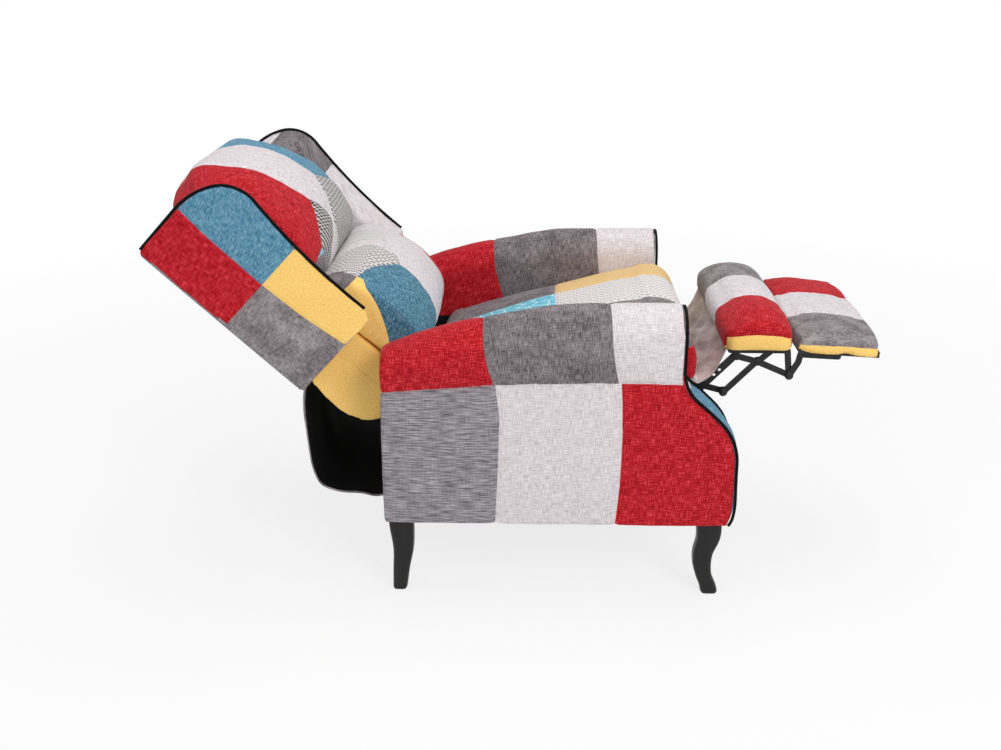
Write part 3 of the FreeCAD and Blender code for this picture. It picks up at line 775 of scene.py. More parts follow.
def makeArm(side):
    look = armLook
    name = "arm_" + side
    covered = ["arm_cover_" + side, "arm_board_" + side]
    piece = skinOf(name, covered, look["voxel"], smoothing=3)
    refine(piece)
    roughen(piece, look["dents"])
    fillArm(piece)

    def choose(centres, facing):
        height = centres[:, 2]
        upper = armUpper(centres)
        column = np.where(upper, bands(centres, upperRear, upperFront), bands(centres, lowerRear, lowerFront))
        found = pick([[3, 2, 0], [0, 1, 2]], upper.astype(int), column)
        found = np.where((centres[:, 0] < look["rearFace"]) & (armRow(centres) < 0), 3, found)
        panel = np.where(height < look["frontBlue"], 4, np.where(height < look["frontBeige"], 2, 0))
        return np.where(armFront(centres, facing), np.where(height > look["frontCrest"], 1, panel), found)

    seams = [seam(armRow, armOuter, depth=0.0030, puff=0.0020), seam(upperRear, armUpper),
             seam(upperFront, armUpper), seam(lowerRear, armLower), seam(lowerFront, armLower)]
    sew(piece, seams, ["redLinen", "slateMelange", "beigeLinen", "ashMelange", "blueDenim"], choose, seed=3)

    def weave(places, facing):
        x, y, z = places[:, 0], np.abs(places[:, 1]) - chair["armMiddle"], places[:, 2]
        base = look["threadTop"] - 0.42 * np.clip(0.17 - x, 0, 1) ** 2
        over = base + look["rollRadius"] * np.arctan2(np.maximum(z - base, 0), y)
        down = base + look["rollRadius"] * math.pi + (base - z)
        b = np.where(z > base, over, np.where(y > 0, z, down))
        front = armFront(places, facing)
        return np.where(front, y, x), np.where(front, z - x, b)

    dress(piece, weave)
    place(piece, "base", "fabric_red", *covered, fill=0.9)


for side in sides:
    makeArm(side)
print("arms made")


# Wings
wingLook = {"voxel": 0.0040, "dents": [(0.11, 0.0009, 21)], "cross": [(0, 0.405)], "tip": [(0, 0.60)],
            "innerCross": 0.456, "innerLean": 0.15, "outerFace": 0.339, "thickness": 0.072, "tuckDown": 0.24,
            "padFace": 0.340, "tuckIn": 0.055, "tuckRear": (-0.10, 0.08), "rearReach": 0.007,
            "rearSpan": (-0.06, -0.04), "rim": 0.0016, "rimSide": (0.332, 0.004), "rimTop": (0.48, 0.10),
            "rimFront": (0.02, 0.05), "calmSide": (0.330, -0.018), "calmRear": (-0.09, 0.03), "calm": 30,
            "ridge": [(0.204, 0.0225), (0.308, 0.0085), (0.403, 0.0035), (0.548, 0.0050), (0.620, 0.0105)]}
wingCross = backAxes.field(0, wingLook["cross"])
wingRidge = backAxes.field(2, wingLook["ridge"])
wingTip = backAxes.field(0, wingLook["tip"])


@backAxes.of
def wingInnerCross(u, y, w):
    return u - wingLook["innerCross"] - wingLook["innerLean"] * (w - 0.11)


def wingOuter(places):
    return np.abs(places[:, 1]) > wingLook["outerFace"]


def wingInner(places):
    return ~wingOuter(places)


def makeWing(side):
    look = wingLook
    piece = skinOf("wing_pad_" + side, ["wing_" + side], look["voxel"], smoothing=2)
    # the pad is thinner towards the sitter, so its rim falls away behind the piping
    u, y, w = backAxes.read(pointsOf(piece))
    inward = np.clip((look["padFace"] - np.abs(y)) / look["thickness"], 0, 1)
    fade = eased(w, look["tuckRear"])
    u = u - look["tuckIn"] * inward * fade * np.maximum(u - 0.25, 0)
    w = w - look["tuckDown"] * inward * np.maximum(w, 0)
    w = w - look["rearReach"] * eased(w, look["rearSpan"])
    rim = look["rim"] * eased(np.abs(y), look["rimSide"])
    u = u + rim * eased(u, look["rimTop"])
    w = w + rim * eased(w, look["rimFront"])
    movePoints(piece, backAxes.places(u, y, w))
    relax(piece, 0.5 * eased(np.abs(y), look["calmSide"]) * eased(w, look["calmRear"]), look["calm"])
    refine(piece)
    roughen(piece, look["dents"])

    def choose(centres, facing):
        outer = pick([[3, 2], [0, 1]], bands(centres, wingCross), bands(centres, wingRidge))
        lined = np.where((wingInnerCross(centres) > 0) & (wingTip(centres) <= 0), 4, 5)
        return np.where(wingOuter(centres), outer, lined)

    seams = [seam(wingCross, wingOuter), seam(wingRidge, wingOuter), seam(wingInnerCross, wingInner),
             seam(wingTip, wingInner)]
    sew(piece, seams, ["redLinen", "blueDenim", "yellowTwill", "grayVelour", "slateMelange", "beigeLinen"],
        choose, seed=5)

    def weave(places, facing):
        u, y, w = backAxes.read(places)
        edge = look["outerFace"] - np.minimum(np.abs(y), look["outerFace"])
        return u + edge, w + edge

    dress(piece, weave)
    place(piece, "back", "fabric_blue", "wing_" + side, fill=0.85)


for side in sides:
    makeWing(side)
print("wings made")


# Back body, with its wrinkled lower sides
backLook = {"voxel": 0.0060, "fold": 0.0030, "skirtStart": 0.212, "skirtTop": 0.206,
            "skirtRear": (-0.050, -0.054), "foldFront": (-0.02, 0.05), "crestStart": 0.60,
            "skirt": [(0.022, 0.020), (0.030, 0.027), (0.070, 0.022), (0.110, 0.029), (0.150, 0.029),
                      (0.190, 0.021), (0.204, 0.008)],
            "lowStitch": [(0.100, -0.0300), (0.152, -0.0335), (0.205, -0.0450)],
            "highStitch": [(0.120, 0.0700), (0.143, 0.0670), (0.205, 0.0590)],
            "thread": {"depth": 0.0016, "width": 0.0016, "puff": 0.0010}}


def makeBackBody():
    look = backLook
    piece = skinOf("back_body", ["back_core"], look["voxel"], smoothing=4)
    refine(piece)
    places = pointsOf(piece)
    u, y, w = backAxes.read(places)
    side = smooth01((np.abs(y) - look["skirtStart"]) / 0.016) * (u < look["skirtTop"])
    w = w - line(u, look["skirt"]) * side * eased(w, look["skirtRear"])
    drag = np.sin((w * 1.1 + u * 0.45) * 2 * math.pi / 0.085 + 1.6 * ripple(places, 0.12, 31))
    fold = look["fold"] * side * (0.6 * drag * eased(w, look["foldFront"]) + 0.35 * ripple(places, 0.05, 32))
    movePoints(piece, backAxes.places(u, y, w))
    movePoints(piece, pointsOf(piece) + normalsOf(piece) * fold[:, None])

    @backAxes.of
    def lowerSide(u, y, w):
        return (np.abs(y) > 0.215) & (u < look["skirtTop"])

    def choose(centres, facing):
        u, y, w = backAxes.read(centres)
        side = (np.abs(y) > look["skirtStart"] + 0.012) & (np.abs(facing[:, 1]) > 0.35)
        lining = (u < 0.21) & (w < -0.055) & ~side
        crest = np.where(y < -0.1, 3, np.where(y < 0.1, 4, 5))
        found = np.where(lining, 2, np.where(side | (u < 0.21), 1, 0))
        return np.where(u > look["crestStart"], crest, found)

    seams = [seam(backAxes.field(2, look[key]), lowerSide, **look["thread"])
             for key in ("lowStitch", "highStitch")]
    sew(piece, seams, ["slateMelange", "yellowTwill", "blackLining", "redLinen", "beigeLinen", "blueDenim"],
        choose, seed=7)

    def weave(places, facing):
        u, y, w = backAxes.read(places)
        side = np.abs(facing[:, 1]) > 0.6
        return wrapped(u, np.maximum(0.02 - w, 0), -1.0, 0.59), np.where(side, w, y)

    dress(piece, weave)
    place(piece, "back", "fabric_yellow", "back_core", fill=0.9)


def makeBackPanel():
    # the plain rear, stretched over the frame with a slight crown
    look = {"halfWidth": 0.3435, "low": 0.2045, "high": 0.619, "rear": -0.106, "gauge": 0.011, "crown": 0.005,
            "columns": 150, "rows": 90, "round": 0.012}
    tall = look["high"] - look["low"]

    def spot(layer, i, j):
        across = 2 * j / look["columns"] - 1
        up = 2 * i / look["rows"] - 1
        rim = min((1 - abs(across)) * look["halfWidth"], (1 - abs(up)) * tall / 2)
        turn = 1 - min(rim / look["round"], 1)
        edge = look["gauge"] * math.sqrt(max(0.0, 1 - turn * turn))
        crown = edge + look["crown"] * (1 - across ** 4) * (1 - up ** 4)
        u = look["low"] + tall * i / look["rows"]
        return backAxes.spot(u, across * look["halfWidth"], look["rear"] - (crown if layer else 0.0))

    work, layers = twoLayers(spot, look["rows"], look["columns"])
    bmesh.ops.remove_doubles(work, verts=work.verts, dist=0.00001)
    bmesh.ops.recalc_face_normals(work, faces=work.faces)
    piece = pieceFrom("back_panel", work, cloths["ashMelange"])
    dress(piece, lambda places, facing: (places[:, 1], backAxes.read(places)[0]))
    place(piece, "back", "fabric_gray", "back_cover", fill=0.8)


makeBackBody()
makeBackPanel()
print("back made")


# Pillows on the back
headLook = {"voxel": 0.0060, "smoothing": 3, "inset": 0.006, "pressure": 5.0, "cap": 0.011, "least": 0.55,
            "calm": 4, "dents": [(0.16, 0.0020, 41), (0.05, 0.0007, 42)], "dentsAbove": 0.03,
            "crown": 0.15, "wrapAlong": (0.38, 0.60), "wrapAcross": (-0.23, 0.23),
            "faceLevel": 0.0206, "rimSide": 0.2655, "crest": 0.621, "droop": 1.34,
            "frontDrop": 0.006, "frontSpan": (0.40, -0.07), "roundEnds": 0.056, "endSpan": (0.14, 0.14),
            "topSpan": (0.48, 0.14), "topDrop": 0.005, "dropSpan": (0.54, 0.08), "corner": (-0.1867, 0.352),
            "nearSeam": [(0.327, -0.136), (0.343, -0.119), (0.359, -0.086), (0.380, -0.056), (0.400, -0.057),
                         (0.4255, -0.0694), (0.4477, -0.0909), (0.523, -0.1206), (0.5823, -0.1342),
                         (0.605, -0.146), (0.63, -0.152), (0.68, -0.152)],
            "farSeam": [(0.330, -0.054), (0.3657, -0.0525), (0.3868, -0.028), (0.4155, 0.006), (0.445, 0.038),
                        (0.4723, 0.075), (0.50, 0.066), (0.5815, 0.063), (0.6278, 0.055), (0.6523, 0.020)],
            "nearHem": [(-0.27, 0.345), (-0.1867, 0.3592), (-0.1695, 0.3723), (-0.1468, 0.3911),
                        (-0.1214, 0.4115), (-0.0967, 0.434), (-0.0908, 0.4497), (-0.04, 0.47)],
            "farHem": [(0.05, 0.475), (0.27, 0.43)]}
lumbarLook = {"voxel": 0.0060, "smoothing": 3, "inset": 0.006, "pressure": 5.0, "cap": 0.011, "least": 0.75,
              "calm": 4, "dents": [(0.15, 0.0018, 51), (0.045, 0.0007, 52)], "dentsAbove": 0.03,
              "crown": 0.17, "wrapAlong": (0.09, 0.27), "wrapAcross": (-0.22, 0.22),
              "faceLevel": 0.0206, "rimSide": 0.252, "stretch": 0.006, "stretchSpan": (0.24, 0.07),
              "nearFace": -0.212, "nearTop": 0.115,
              "farFace": 0.176, "farLean": 0.75, "bandTurn": 0.2094, "upperWidth": 0.055,
              "seam": [(0.05, -0.092), (0.10, -0.093), (0.135, -0.085), (0.166, -0.075), (0.21, -0.067)],
              "cross": [(-0.25, 0.274), (-0.2167, 0.2713), (-0.1692, 0.2637), (-0.1349, 0.2551),
                        (-0.1117, 0.242), (-0.085, 0.2249), (-0.0668, 0.2094), (-0.0152, 0.2266),
                        (0.0508, 0.2458), (0.1285, 0.2619)],
              "dashEnd": [(0.2094, -0.0668), (0.2266, -0.0152), (0.2531, 0.0055), (0.272, -0.0027),
                          (0.2892, -0.0095), (0.302, -0.0286), (0.3099, -0.046), (0.32, -0.07)]}


def makeHeadPillow():
    look = headLook

    @backAxes.of
    def keepIn(u, y, w):
        w = np.where((u < look["crest"]) & (w > -0.03), np.maximum(w, look["faceLevel"]), w)
        u = np.where((w < look["faceLevel"]), np.maximum(u, look["crest"]), u)
        w = np.where((u > 0.60) & (w < 0.02), 0.02 + (w - 0.02) * look["droop"], w)
        u = u - look["frontDrop"] * eased(u, look["frontSpan"])
        u = u - look["roundEnds"] * eased(np.abs(y), look["endSpan"]) * eased(u, look["topSpan"])
        u = u - look["topDrop"] * eased(u, look["dropSpan"])
        return backAxes.places(u, np.clip(y, -look["rimSide"], look["rimSide"]), w)

    nearSeam = backAxes.field(1, look["nearSeam"])
    farSeam = backAxes.field(1, look["farSeam"])
    nearHem = backAxes.field(0, look["nearHem"], by=1)
    farHem = backAxes.field(0, look["farHem"], by=1)

    def nearBand(places):
        return (nearSeam(places) < 0.0005) & (backAxes.read(places)[2] > 0.02)

    def farBand(places):
        return (farSeam(places) > -0.0005) & (backAxes.read(places)[2] > 0.02)

    def choose(centres, facing):
        u, y, w = backAxes.read(centres)
        band = bands(centres, nearSeam, farSeam)
        lower = np.where(band == 0, nearHem(centres) < 0, farHem(centres) < 0)
        found = pick([[0, 1, 2], [3, 1, 4]], lower.astype(int), band)
        side, foot = look["corner"]
        return np.where((nearHem(centres) < 0) & (y < side), np.where(u > foot, 5, 6), found)

    seams = [seam(nearSeam, depth=0.0028), seam(farSeam, depth=0.0028), seam(nearHem, nearBand),
             seam(farHem, farBand)]
    piece = plump("head_cushion", "head_pillow", backAxes, look, keepIn)
    sew(piece, seams, ["redLinen", "beigeLinen", "blueDenim", "blackRows", "chainRows", "crackle",
                       "slateMelange"], choose, seed=9)
    dress(piece, threadsOver(backAxes, look))
    place(piece, "back", "fabric_beige", "head_pillow", fill=0.8)


def makeLumbarPillow():
    look = lumbarLook

    @backAxes.of
    def keepIn(u, y, w):
        w = np.maximum(w, look["faceLevel"])
        u = u + look["stretch"] * eased(u, look["stretchSpan"])
        return backAxes.places(u, np.clip(y, -look["rimSide"], look["rimSide"]), w)

    cross = backAxes.field(0, look["cross"], by=1)

    @backAxes.of
    def nearEnd(u, y, w):
        # the yellow end of the pillow, under the wing
        top = look["nearTop"] - 2.8 * np.clip(0.28 - u, 0, 0.25) ** 2
        return np.maximum(y - look["nearFace"], w - top)

    @backAxes.of
    def bandSeam(u, y, w):
        # the blue patch's far edge below, the dashed patch's far edge above
        return y - np.where(u < look["bandTurn"], line(u, look["seam"]), line(u, look["dashEnd"]))

    @backAxes.of
    def upperFar(u, y, w):
        return y - line(u, look["dashEnd"]) - look["upperWidth"]

    @backAxes.of
    def farEnd(u, y, w):
        return y - look["farFace"] - look["farLean"] * np.clip(u - 0.16, 0, 0.1)

    def above(places):
        return cross(places) > -0.0005

    def choose(centres, facing):
        u, y, w = backAxes.read(centres)
        upper = cross(centres) > 0
        lower = np.where(bandSeam(centres) < 0, 0, 1)
        far = np.where((upperFar(centres) >= 0) & (y < 0.15), 6, 1)
        top = np.where(bandSeam(centres) < 0, 3, far)
        top = np.where(y < -0.204 - 0.35 * np.clip(0.31 - u, 0, 0.04), 2, top)
        found = np.where(upper, top, lower)
        found = np.where(nearEnd(centres) < 0, np.where(upper, 2, 4), found)
        return np.where(farEnd(centres) > 0, 5, found)

    seams = [seam(cross), seam(bandSeam), seam(upperFar, above, depth=0.0012), seam(nearEnd, depth=0.0026),
             seam(farEnd, depth=0.0026)]
    piece = plump("lumbar_cushion", "lumbar_pillow", backAxes, look, keepIn)
    sew(piece, seams, ["tealDenim", "beigeLinen", "slateMelange", "grayDashes", "yellowTwill", "redLinen",
                       "paleDashes"], choose, seed=11)
    dress(piece, threadsOver(backAxes, look))
    place(piece, "back", "fabric_gray", "lumbar_pillow", fill=0.75)


makeHeadPillow()
makeLumbarPillow()
print("pillows made")


# Seat cushion
seatLook = {"voxel": 0.0060, "smoothing": 3, "inset": 0.006, "pressure": 5.0, "cap": 0.010, "least": 0.70,
            "calm": 5, "dents": [(0.15, 0.0016, 61), (0.05, 0.0006, 62)], "dentsAbove": 0.0,
            "crown": 0.066, "wrapAlong": (-0.5, 0.50), "wrapAcross": (-0.23, 0.23),
            "nearSeam": [(0.0, -0.060), (0.35, -0.066), (0.60, -0.087)], "farSeam": [(0, 0.095)],
            "row": [(0, 0.312)], "lip": [(0, -0.002)], "under": -0.0197, "rimSide": 0.2575,
            "lipStart": 0.5352, "level": 0.004, "levelAt": 0.455, "levelAbove": (0.03, 0.02)}


def makeSeat():
    look = seatLook

    @seatAxes.of
    def keepIn(s, y, n):
        n = np.where(s < look["lipStart"], np.maximum(n, look["under"]), n)
        s = np.where(n < look["under"] - 0.0005, np.maximum(s, look["lipStart"]), s)
        return seatAxes.places(s, np.clip(y, -look["rimSide"], look["rimSide"]), n)

    nearSeam, farSeam = seatAxes.field(1, look["nearSeam"]), seatAxes.field(1, look["farSeam"])
    row, lip = seatAxes.field(0, look["row"]), seatAxes.field(2, look["lip"])

    def nearLip(places):
        return (seatAxes.read(places)[0] > 0.50) & (nearSeam(places) < 0.0005)

    def choose(centres, facing):
        found = pick([[0, 1, 2], [3, 4, 5]], bands(centres, row), bands(centres, nearSeam, farSeam))
        return np.where(nearLip(centres) & (lip(centres) < 0), 6, found)

    piece = plump("seat_pad", "seat_cushion", seatAxes, look, keepIn)
    s, y, n = seatAxes.read(pointsOf(piece))
    n = n + look["level"] * np.exp(-((s - look["levelAt"]) / 0.06) ** 2) * eased(n, look["levelAbove"])
    movePoints(piece, seatAxes.places(s, y, n))
    seams = [seam(nearSeam), seam(farSeam), seam(row), seam(lip, nearLip)]
    # the front far patch's paler yellow is the yellow twill with painted reflection from the seat top
    sew(piece, seams, ["beigeLinen", "crackle", "slateMelange", "grayVelour", "speckle", "honeyTwill",
                       "redLinen"], choose, seed=13)
    dress(piece, threadsOver(seatAxes, look))
    place(piece, "seat", "fabric_white", "seat_cushion", fill=0.85)


makeSeat()
print("seat made")


# Footrest pads: the inner one on the footrest's board, the outer one on its hinged board
padLook = {"voxel": 0.0050, "smoothing": 4, "inset": 0.005, "pressure": 5.0, "cap": 0.009, "least": 0.75,
           "calm": 9, "dents": [(0.10, 0.0010, 71), (0.04, 0.0004, 72)],
           "seams": ([(0, -0.08)], [(0, 0.08)]), "endZone": 0.050, "wrap": 0.0085, "boardEdge": 0.2275,
           "wrapIn": 0.034, "bare": 0.005, "taperSpan": (0.10, 0.15)}
pads = {
    "footrest_cushion": {
        "node": "footrest_pad", "body": "footrest", "axes": levelAxes, "slot": "fabric_beige",
        "level": 0.1262, "endFace": 0.247, "crown": 0.185, "wrapAlong": (0.66, 0.75),
        "band": [(0.631, 0.016), (0.65, 0.022), (0.70, 0.026), (0.75, 0.023), (0.780, 0.014)],
        "board": (0.640, 0.772), "taper": 0.002, "order": ("redLinen", "beigeLinen", "grayVelour")},
    "outer_cushion": {
        "node": "flipper_pad", "body": "flipper", "axes": outerAxes, "slot": "fabric_gray",
        "level": 0.0672, "endFace": 0.243, "crown": 0.098, "wrapAlong": (0.02, 0.17),
        "band": [(0.005, 0.008), (0.03, 0.011), (0.10, 0.0125), (0.16, 0.011), (0.190, 0.007)],
        "board": (0.013, 0.182), "taper": 0.008, "order": ("grayVelour", "beigeLinen", "redLinen")}}


def makePad(name, pad):
    reach = pad["endFace"] - padLook["wrapIn"]
    look = {**padLook, **pad, "dentsAbove": pad["level"] + padLook["bare"], "wrapAcross": (-reach, reach)}
    axes, level = look["axes"], look["level"]
    start, stop = look["band"][0][0], look["band"][-1][0]
    boardStart, boardStop = look["board"]

    @axes.of
    def keepIn(a, y, b):
        # flat where it rests on its board, with the cloth brought down over the board's edges
        b = np.maximum(b, level)
        outside = np.maximum(np.abs(y) - look["boardEdge"], np.maximum(boardStart - a, a - boardStop))
        low = np.clip((level + 0.020 - b) / 0.016, 0, 1)
        b = b + (level - look["wrap"] - b) * low * smooth01(outside / 0.002)
        front = smooth01((a - start - 0.7 * (stop - start)) / 0.05)
        a = a - look["taper"] * eased(np.abs(y), look["taperSpan"]) * front
        return axes.places(a, y, b)

    @axes.of
    def endBand(a, y, b):
        # the yellow end piece, up to a line where the top rolls over
        span = np.clip(2 * (a - start) / (stop - start) - 1, -1, 1)
        zone = look["endZone"] * (1 - np.abs(span) ** 4) + 0.004
        return np.maximum(b - level - line(a, look["band"]), look["endFace"] - zone - np.abs(y))

    def nearEnds(places):
        return np.abs(places[:, 1]) > look["endFace"] - look["endZone"] - 0.016

    dividing = [axes.field(1, table) for table in look["seams"]]

    def choose(centres, facing):
        return np.where(endBand(centres) < 0, 3, bands(centres, *dividing))

    seams = [*(seam(field, depth=0.0020) for field in dividing), seam(endBand, nearEnds)]
    piece = plump(name, look["node"], axes, look, keepIn)
    sew(piece, seams, [*look["order"], "yellowTwill"], choose, seed=15)
    over = threadsOver(axes, look)
    dress(piece, lambda places, facing: over(places, facing)[::-1])
    place(piece, look["body"], look["slot"], look["node"], fill=0.85)


for name, pad in pads.items():
    makePad(name, pad)
print("footrest pads made")


# Cloth sheets
def edgeOf(rows):
    # the points round a grid's edge, in order
    return [row[0] for row in rows] + rows[-1][1:] + [row[-1] for row in rows[-2::-1]] + rows[0][-2:0:-1]


def sheetAlong(name, path, look, sway, clothNames, hems=lambda share: 0, threadsDown=False):
    # a thin sheet that follows a path of (x, z) points: two faces, a rim, and hems of the last cloth
    path = np.array(path)
    rows, columns = len(path) - 1, look["columns"]
    tangent = np.gradient(path, axis=0)
    tangent /= np.linalg.norm(tangent, axis=1)[:, None]
    normal = np.column_stack([-tangent[:, 1], tangent[:, 0]])
    run = np.concatenate([[0], np.cumsum(np.linalg.norm(np.diff(path, axis=0), axis=1))])
    across = look["halfWidth"] * (2 * np.arange(columns + 1) / columns - 1)

    def spot(layer, i, j):
        push = sway(run[i] / run[-1], across[j]) + (0.5 - layer) * look["gauge"]
        x, z = path[i] + normal[i] * push
        return x, across[j], z

    work, layers = twoLayers(spot, rows, columns)
    hem = len(clothNames) - 1
    for number, face in enumerate(work.faces):
        layer, cell = divmod(number, rows * columns)
        i, j = divmod(cell, columns)
        face.material_index = hem if min(j, columns - 1 - j) < hems(run[i] / run[-1]) else layer
    upper, under = [edgeOf(made) for made in layers]
    for a, b, c, d in zip(upper, upper[1:] + upper[:1], under[1:] + under[:1], under):
        work.faces.new((a, b, c, d)).material_index = hem
    bmesh.ops.recalc_face_normals(work, faces=work.faces)
    piece = pieceFrom(name, work, *[cloths[cloth] for cloth in clothNames])
    threads = np.tile(across, 2 * (rows + 1)), np.tile(np.repeat(run, columns + 1), 2)
    dress(piece, lambda places, facing: threads[::-1] if threadsDown else threads)
    return piece, (2 * look["halfWidth"], float(run[-1]))


def curveThrough(points, steps):
    # a smooth line through (x, z) points
    points = np.array(points)
    ends = np.vstack([2 * points[0] - points[1], points, 2 * points[-1] - points[-2]])
    made = []
    for a, b, c, d in zip(ends, ends[1:], ends[2:], ends[3:]):
        for t in np.arange(0, 1, 1 / steps):
            made.append(0.5 * (2 * b + (c - a) * t + (2 * a - 5 * b + 4 * c - d) * t * t
                               + (3 * b - a - 3 * c + d) * t ** 3))
    return [*made, points[-1]]


def makeWeb():
    # runs from under the seat's lip up to the footrest board, in broad soft folds
    look = {"path": [(0.3590, 0.4450), (0.3640, 0.4405), (0.3720, 0.4455), (0.3900, 0.4660), (0.4070, 0.4900),
                     (0.4180, 0.5120), (0.4200, 0.5220)],
            "halfWidth": 0.226, "gauge": 0.0012, "columns": 150, "fold": 0.0062, "smallFold": 0.4}

    def sway(share, y):
        broad = math.sin(y * 17 + share * 2.0 + 1.2)
        small = look["smallFold"] * math.sin(y * 61 - share * 6.0 + 1.0)
        return look["fold"] * math.sin(math.pi * share) * (broad + small)

    # the pale edges are partly a frayed hem and partly painted sheen along the near edge
    piece, flat = sheetAlong("footrest_cloth", curveThrough(look["path"], 9), look, sway,
                             ["velvetWeb", "velvetWeb", "paleHem"], hems=lambda share: 2)
    place(piece, "seat", "velvet_taupe", "footrest_web")
    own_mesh(piece)


def makeFlap():
    # the curtain behind the back: gray outside and along its hems, black inside
    look = {"path": [(-0.4475, 0.4560), (-0.4610, 0.4250), (-0.4660, 0.3800), (-0.4630, 0.3150),
                     (-0.4560, 0.2500), (-0.4380, 0.2070), (-0.4000, 0.1900), (-0.3520, 0.1870),
                     (-0.3200, 0.1805), (-0.2920, 0.1850)],
            "halfWidth": 0.2515, "gauge": 0.0026, "columns": 120, "fold": 0.0025, "smallFold": 0.45}

    def sway(share, y):
        middle = math.sin(math.pi * min(1.0, share * 1.1)) ** 2
        small = look["smallFold"] * math.sin(y * 47 + share * 4)
        return look["fold"] * middle * (math.sin(y * 21 + 0.8) + small)

    def hems(share):
        # the gray reaches in from the sides where the flap leaves the back
        return 5.5 - 16 * share if share < 0.28 else 1

    piece, flat = sheetAlong("rear_flap", curveThrough(look["path"], 10), look, sway,
                             ["blackLining", "ashMelange", "ashMelange"], hems, threadsDown=True)
    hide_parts("back_flap")
    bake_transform(piece)


def makeDustCover():
    look = {"halfWidth": 0.252, "gauge": 0.0010, "columns": 40, "sag": 0.0015, "level": 0.1893}
    low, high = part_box("dust_cover")
    steps = look["columns"]
    path = [(low.x + (high.x - low.x) * i / steps, look["level"]) for i in range(steps + 1)]

    def sway(share, y):
        return -look["sag"] * math.sin(math.pi * share) * (1 - (y / look["halfWidth"]) ** 2)

    piece, flat = sheetAlong("under_cloth", path, look, sway, ["blackLining", "blackLining"])
    place(piece, "base", "lining_black", "dust_cover")


makeWeb()
makeFlap()
makeDustCover()
print("cloth sheets made")


# Legs: rows of height, sideways sway and width, each as a share
legLook = {"rise": 0.185, "depth": 0.038, "sway": 0.022, "foot": 0.030, "top": 0.057, "corner": 4.5,
           "ease": 0.90, "rings": 46, "around": 32,
           "rear": [(0.0, -0.3, 0.0), (0.25, -0.12, 0.2), (0.5, 0.12, 0.48), (0.85, 0.0, 0.85),
                    (1.0, 0.0, 0.9)],
           "front": [(0.0, 0.45, 0.22), (0.03, 0.43, 0.22), (0.23, -0.16, 0.19), (0.36, -0.36, 0.33),
                     (0.49, -0.34, 0.44), (0.68, 0.09, 0.7), (1.0, 0.0, 1.0)]}


def gentle(table, height, column):
    # a smooth value between the rows of a leg's table
    spots = [row[0] for row in table]
    values = [row[column] for row in table]
    slopes = np.gradient(values, spots)
    index = min(max(int(np.searchsorted(spots, height)) - 1, 0), len(spots) - 2)
    span = spots[index + 1] - spots[index]
    t = (height - spots[index]) / span
    return ((2 * t ** 3 - 3 * t ** 2 + 1) * values[index] + (t ** 3 - 2 * t ** 2 + t) * span * slopes[index]
            + (3 * t ** 2 - 2 * t ** 3) * values[index + 1] + (t ** 3 - t ** 2) * span * slopes[index + 1])


def makeLeg(end, side):
    look = legLook
    node = end + "_leg_" + side
    low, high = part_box(node)
    topX = [v.co.x for v in nodes[node].data.vertices if v.co.z > high.z - 0.001]
    centreX = (min(topX) + max(topX)) / 2
    centreY = (low.y + high.y) / 2
    rings = []
    for i in range(look["rings"] + 1):
        height = i / look["rings"]
        half = (look["foot"] + (look["top"] - look["foot"]) * gentle(look[end], height, 2)) / 2
        x = centreX + look["sway"] * gentle(look[end], height, 1)
        ring = []
        for j in range(look["around"]):
            angle = 2 * math.pi * (j + 0.5) / look["around"]
            c, s = math.cos(angle), math.sin(angle)
            grow = (abs(c) ** look["corner"] + abs(s) ** look["corner"]) ** (-1 / look["corner"])
            if i == 0:
                grow *= look["ease"]
            ring.append((x + half * c * grow, centreY + look["depth"] / 2 * s * grow, look["rise"] * height))
        rings.append(ring)
    place(ringed("carved_" + node, rings, hard["blackLacquer"]), "base", "wood_black", node)


for side in sides:
    makeLeg("rear", side)
    makeLeg("front", side)
print("legs made")


# Rivet heads of the linkage, just proud of the plates that they hold
rivetLook = {"radius": 0.0066, "rise": 0.0012, "rings": 5, "around": 28}
rivets = {"control": {"joint": "control_link_swing_", "body": "rear_links", "y": 0.2058, "shift": (0, 0)},
          "eye": {"joint": "footrest_tilt", "body": "footrest", "y": 0.2090, "shift": (0, 0)},
          "upper": {"joint": "footrest_tilt", "body": "footrest", "y": 0.2090, "shift": (0.045, -0.012)},
          "flip": {"joint": "flipper_fold", "body": "footrest", "y": 0.2148, "shift": (0, 0)}}


def makeRivet(name, rivet, side, way):
    look = rivetLook
    joint = rivet["joint"]
    eye = eyes[joint + side if joint.endswith("_") else joint]
    x, z = eye[0] + rivet["shift"][0], eye[2] + rivet["shift"][1]
    rings = []
    for i in range(look["rings"]):
        turn = math.pi / 2 * i / look["rings"]
        radius = look["radius"] * math.cos(turn) ** 0.5
        angles = [2 * math.pi * j / look["around"] for j in range(look["around"])]
        y = way * (rivet["y"] + look["rise"] * math.sin(turn))
        rings.append([(x + radius * math.cos(angle), y, z + radius * math.sin(angle)) for angle in angles])
    place(ringed("rivet_" + name + "_" + side, rings, hard["steel"]), rivet["body"], "steel_black")


for side, way in zip(sides, (1, -1)):
    for name, rivet in rivets.items():
        makeRivet(name, rivet, side, way)
print("rivets made")


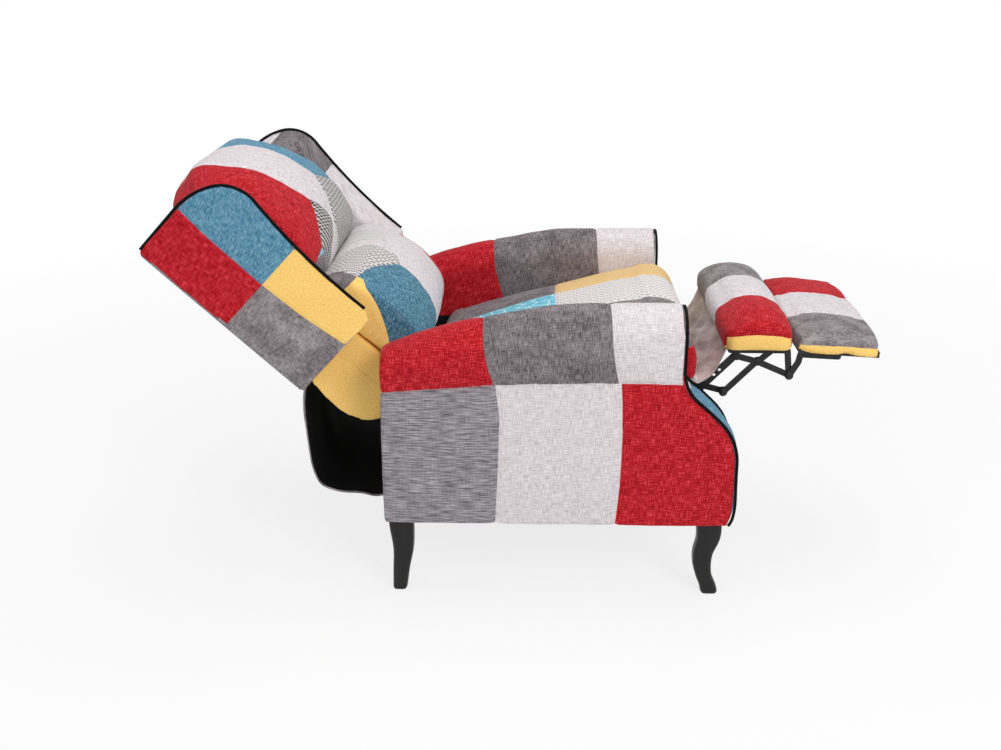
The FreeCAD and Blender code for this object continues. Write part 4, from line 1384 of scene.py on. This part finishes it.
# Finishes of the pieces that keep their CAD shape, by how their names start
finishes = {"steel": ("side_plate_", "seat_bracket_", "link_bracket_", "rear_link_", "link_tube",
                      "front_link_", "control_link_", "footrest_bracket_", "flipper_bracket_",
                      "back_bracket_"),
            "plywood": ("rear_cross_rail", "front_cross_rail", "seat_rail_", "back_rail_"),
            "blackBoard": ("footrest_board", "flipper_board"), "webbing": ("seat_strap_",),
            "brightSteel": ("pivot_shaft",), "pipingCloth": ("arm_piping_", "wing_piping_")}
for finish, starts in finishes.items():
    for name, node in nodes.items():
        if name.startswith(starts):
            node.data.materials.clear()
            node.data.materials.append({**hard, **cloths}[finish])
            if finish == "pipingCloth":
                node.data.polygons.foreach_set("use_smooth", [True] * len(node.data.polygons))
print("finishes set")


# Floor, light and camera
stageLook = {"half": 60.0, "near": 0.9, "far": 3.2, "glow": 0.80, "lit": (0.86, 0.86, 0.86, 1),
             "worldLight": 0.42}
lamps = {"key": {"spot": (1.9, -3.4, 2.9), "target": (0, 0, 0.45), "size": 1.6, "power": 84},
         "fill": {"spot": (-2.8, -2.6, 1.9), "target": (0, 0, 0.4), "size": 2.2, "power": 24},
         "top": {"spot": (0.3, 0.2, 3.4), "target": (0, 0, 0.4), "size": 2.6, "power": 48}}
cameraLook = {"spot": (0.0181, -2.5920, 1.3339), "forward": (-0.02663, 0.93685, -0.34872), "lens": 43.16}


def studioRays(loom):
    # 1 for the rays that see the studio itself: the camera's, and those in metal and glass
    camera, glossy, transmitted = [loom.node("LightPath", {}, output=i) for i in (0, 3, 6)]
    total = camera + glossy + transmitted
    return total.maths("MINIMUM", total, 1.0)


def white(loom, kind):
    # the studio's own white, which no light changes
    return loom.node(kind, {"Color": (1, 1, 1, 1), "Strength": 1.0})


def makeFloor():
    # lit near the chair, and fading to plain white further out
    look = stageLook
    corners = [(x * look["half"], y * look["half"], 0) for x, y in ((-1, -1), (1, -1), (1, 1), (-1, 1))]
    mesh = bpy.data.meshes.new("floor")
    mesh.from_pydata(corners, [], [(0, 1, 2, 3)])
    loom = Loom("floor")
    reach = loom.node("VectorMath", {0: loom.object()}, output=1, operation="LENGTH")
    glow = loom.node("MapRange", {0: reach, 1: look["near"], 2: look["far"], 3: look["glow"], 4: 1.0})
    lit = loom.node("BsdfDiffuse", {"Color": look["lit"]})
    mixed = loom.node("MixShader", {0: studioRays(loom) * glow, 1: lit, 2: white(loom, "Emission")})
    mesh.materials.append(loom.end(mixed))
    addPiece("floor", mesh)


def makeWorld():
    # plain soft light all round, and white where the camera looks past the floor
    world = bpy.data.worlds.new("studio")
    bpy.context.scene.world = world
    loom = Loom("studio", world)
    light = loom.node("Background", {"Color": (1, 1, 1, 1), "Strength": stageLook["worldLight"]})
    mixed = loom.node("MixShader", {0: studioRays(loom), 1: light, 2: white(loom, "Background")})
    loom.end(mixed, "OutputWorld")


def aim(name, data, spot, forward):
    # a lamp or a camera, looking forward from its spot
    made = addPiece(name, data)
    made.location = spot
    made.rotation_mode = "QUATERNION"
    made.rotation_quaternion = forward.to_track_quat("-Z", "Y")
    return made


def makeLamp(name, look):
    data = bpy.data.lights.new(name, "AREA")
    data.shape = "SQUARE"
    data.size = look["size"]
    data.energy = look["power"]
    aim(name, data, look["spot"], Vector(look["target"]) - Vector(look["spot"]))


def makeCamera():
    data = bpy.data.cameras.new("camera")
    data.lens = cameraLook["lens"]
    data.sensor_width = 36.0
    bpy.context.scene.camera = aim("camera", data, cameraLook["spot"], Vector(cameraLook["forward"]))


makeFloor()
makeWorld()
for name, look in lamps.items():
    makeLamp(name, look)
makeCamera()
bpy.context.scene.view_settings.view_transform = "Standard"
print("stage set")
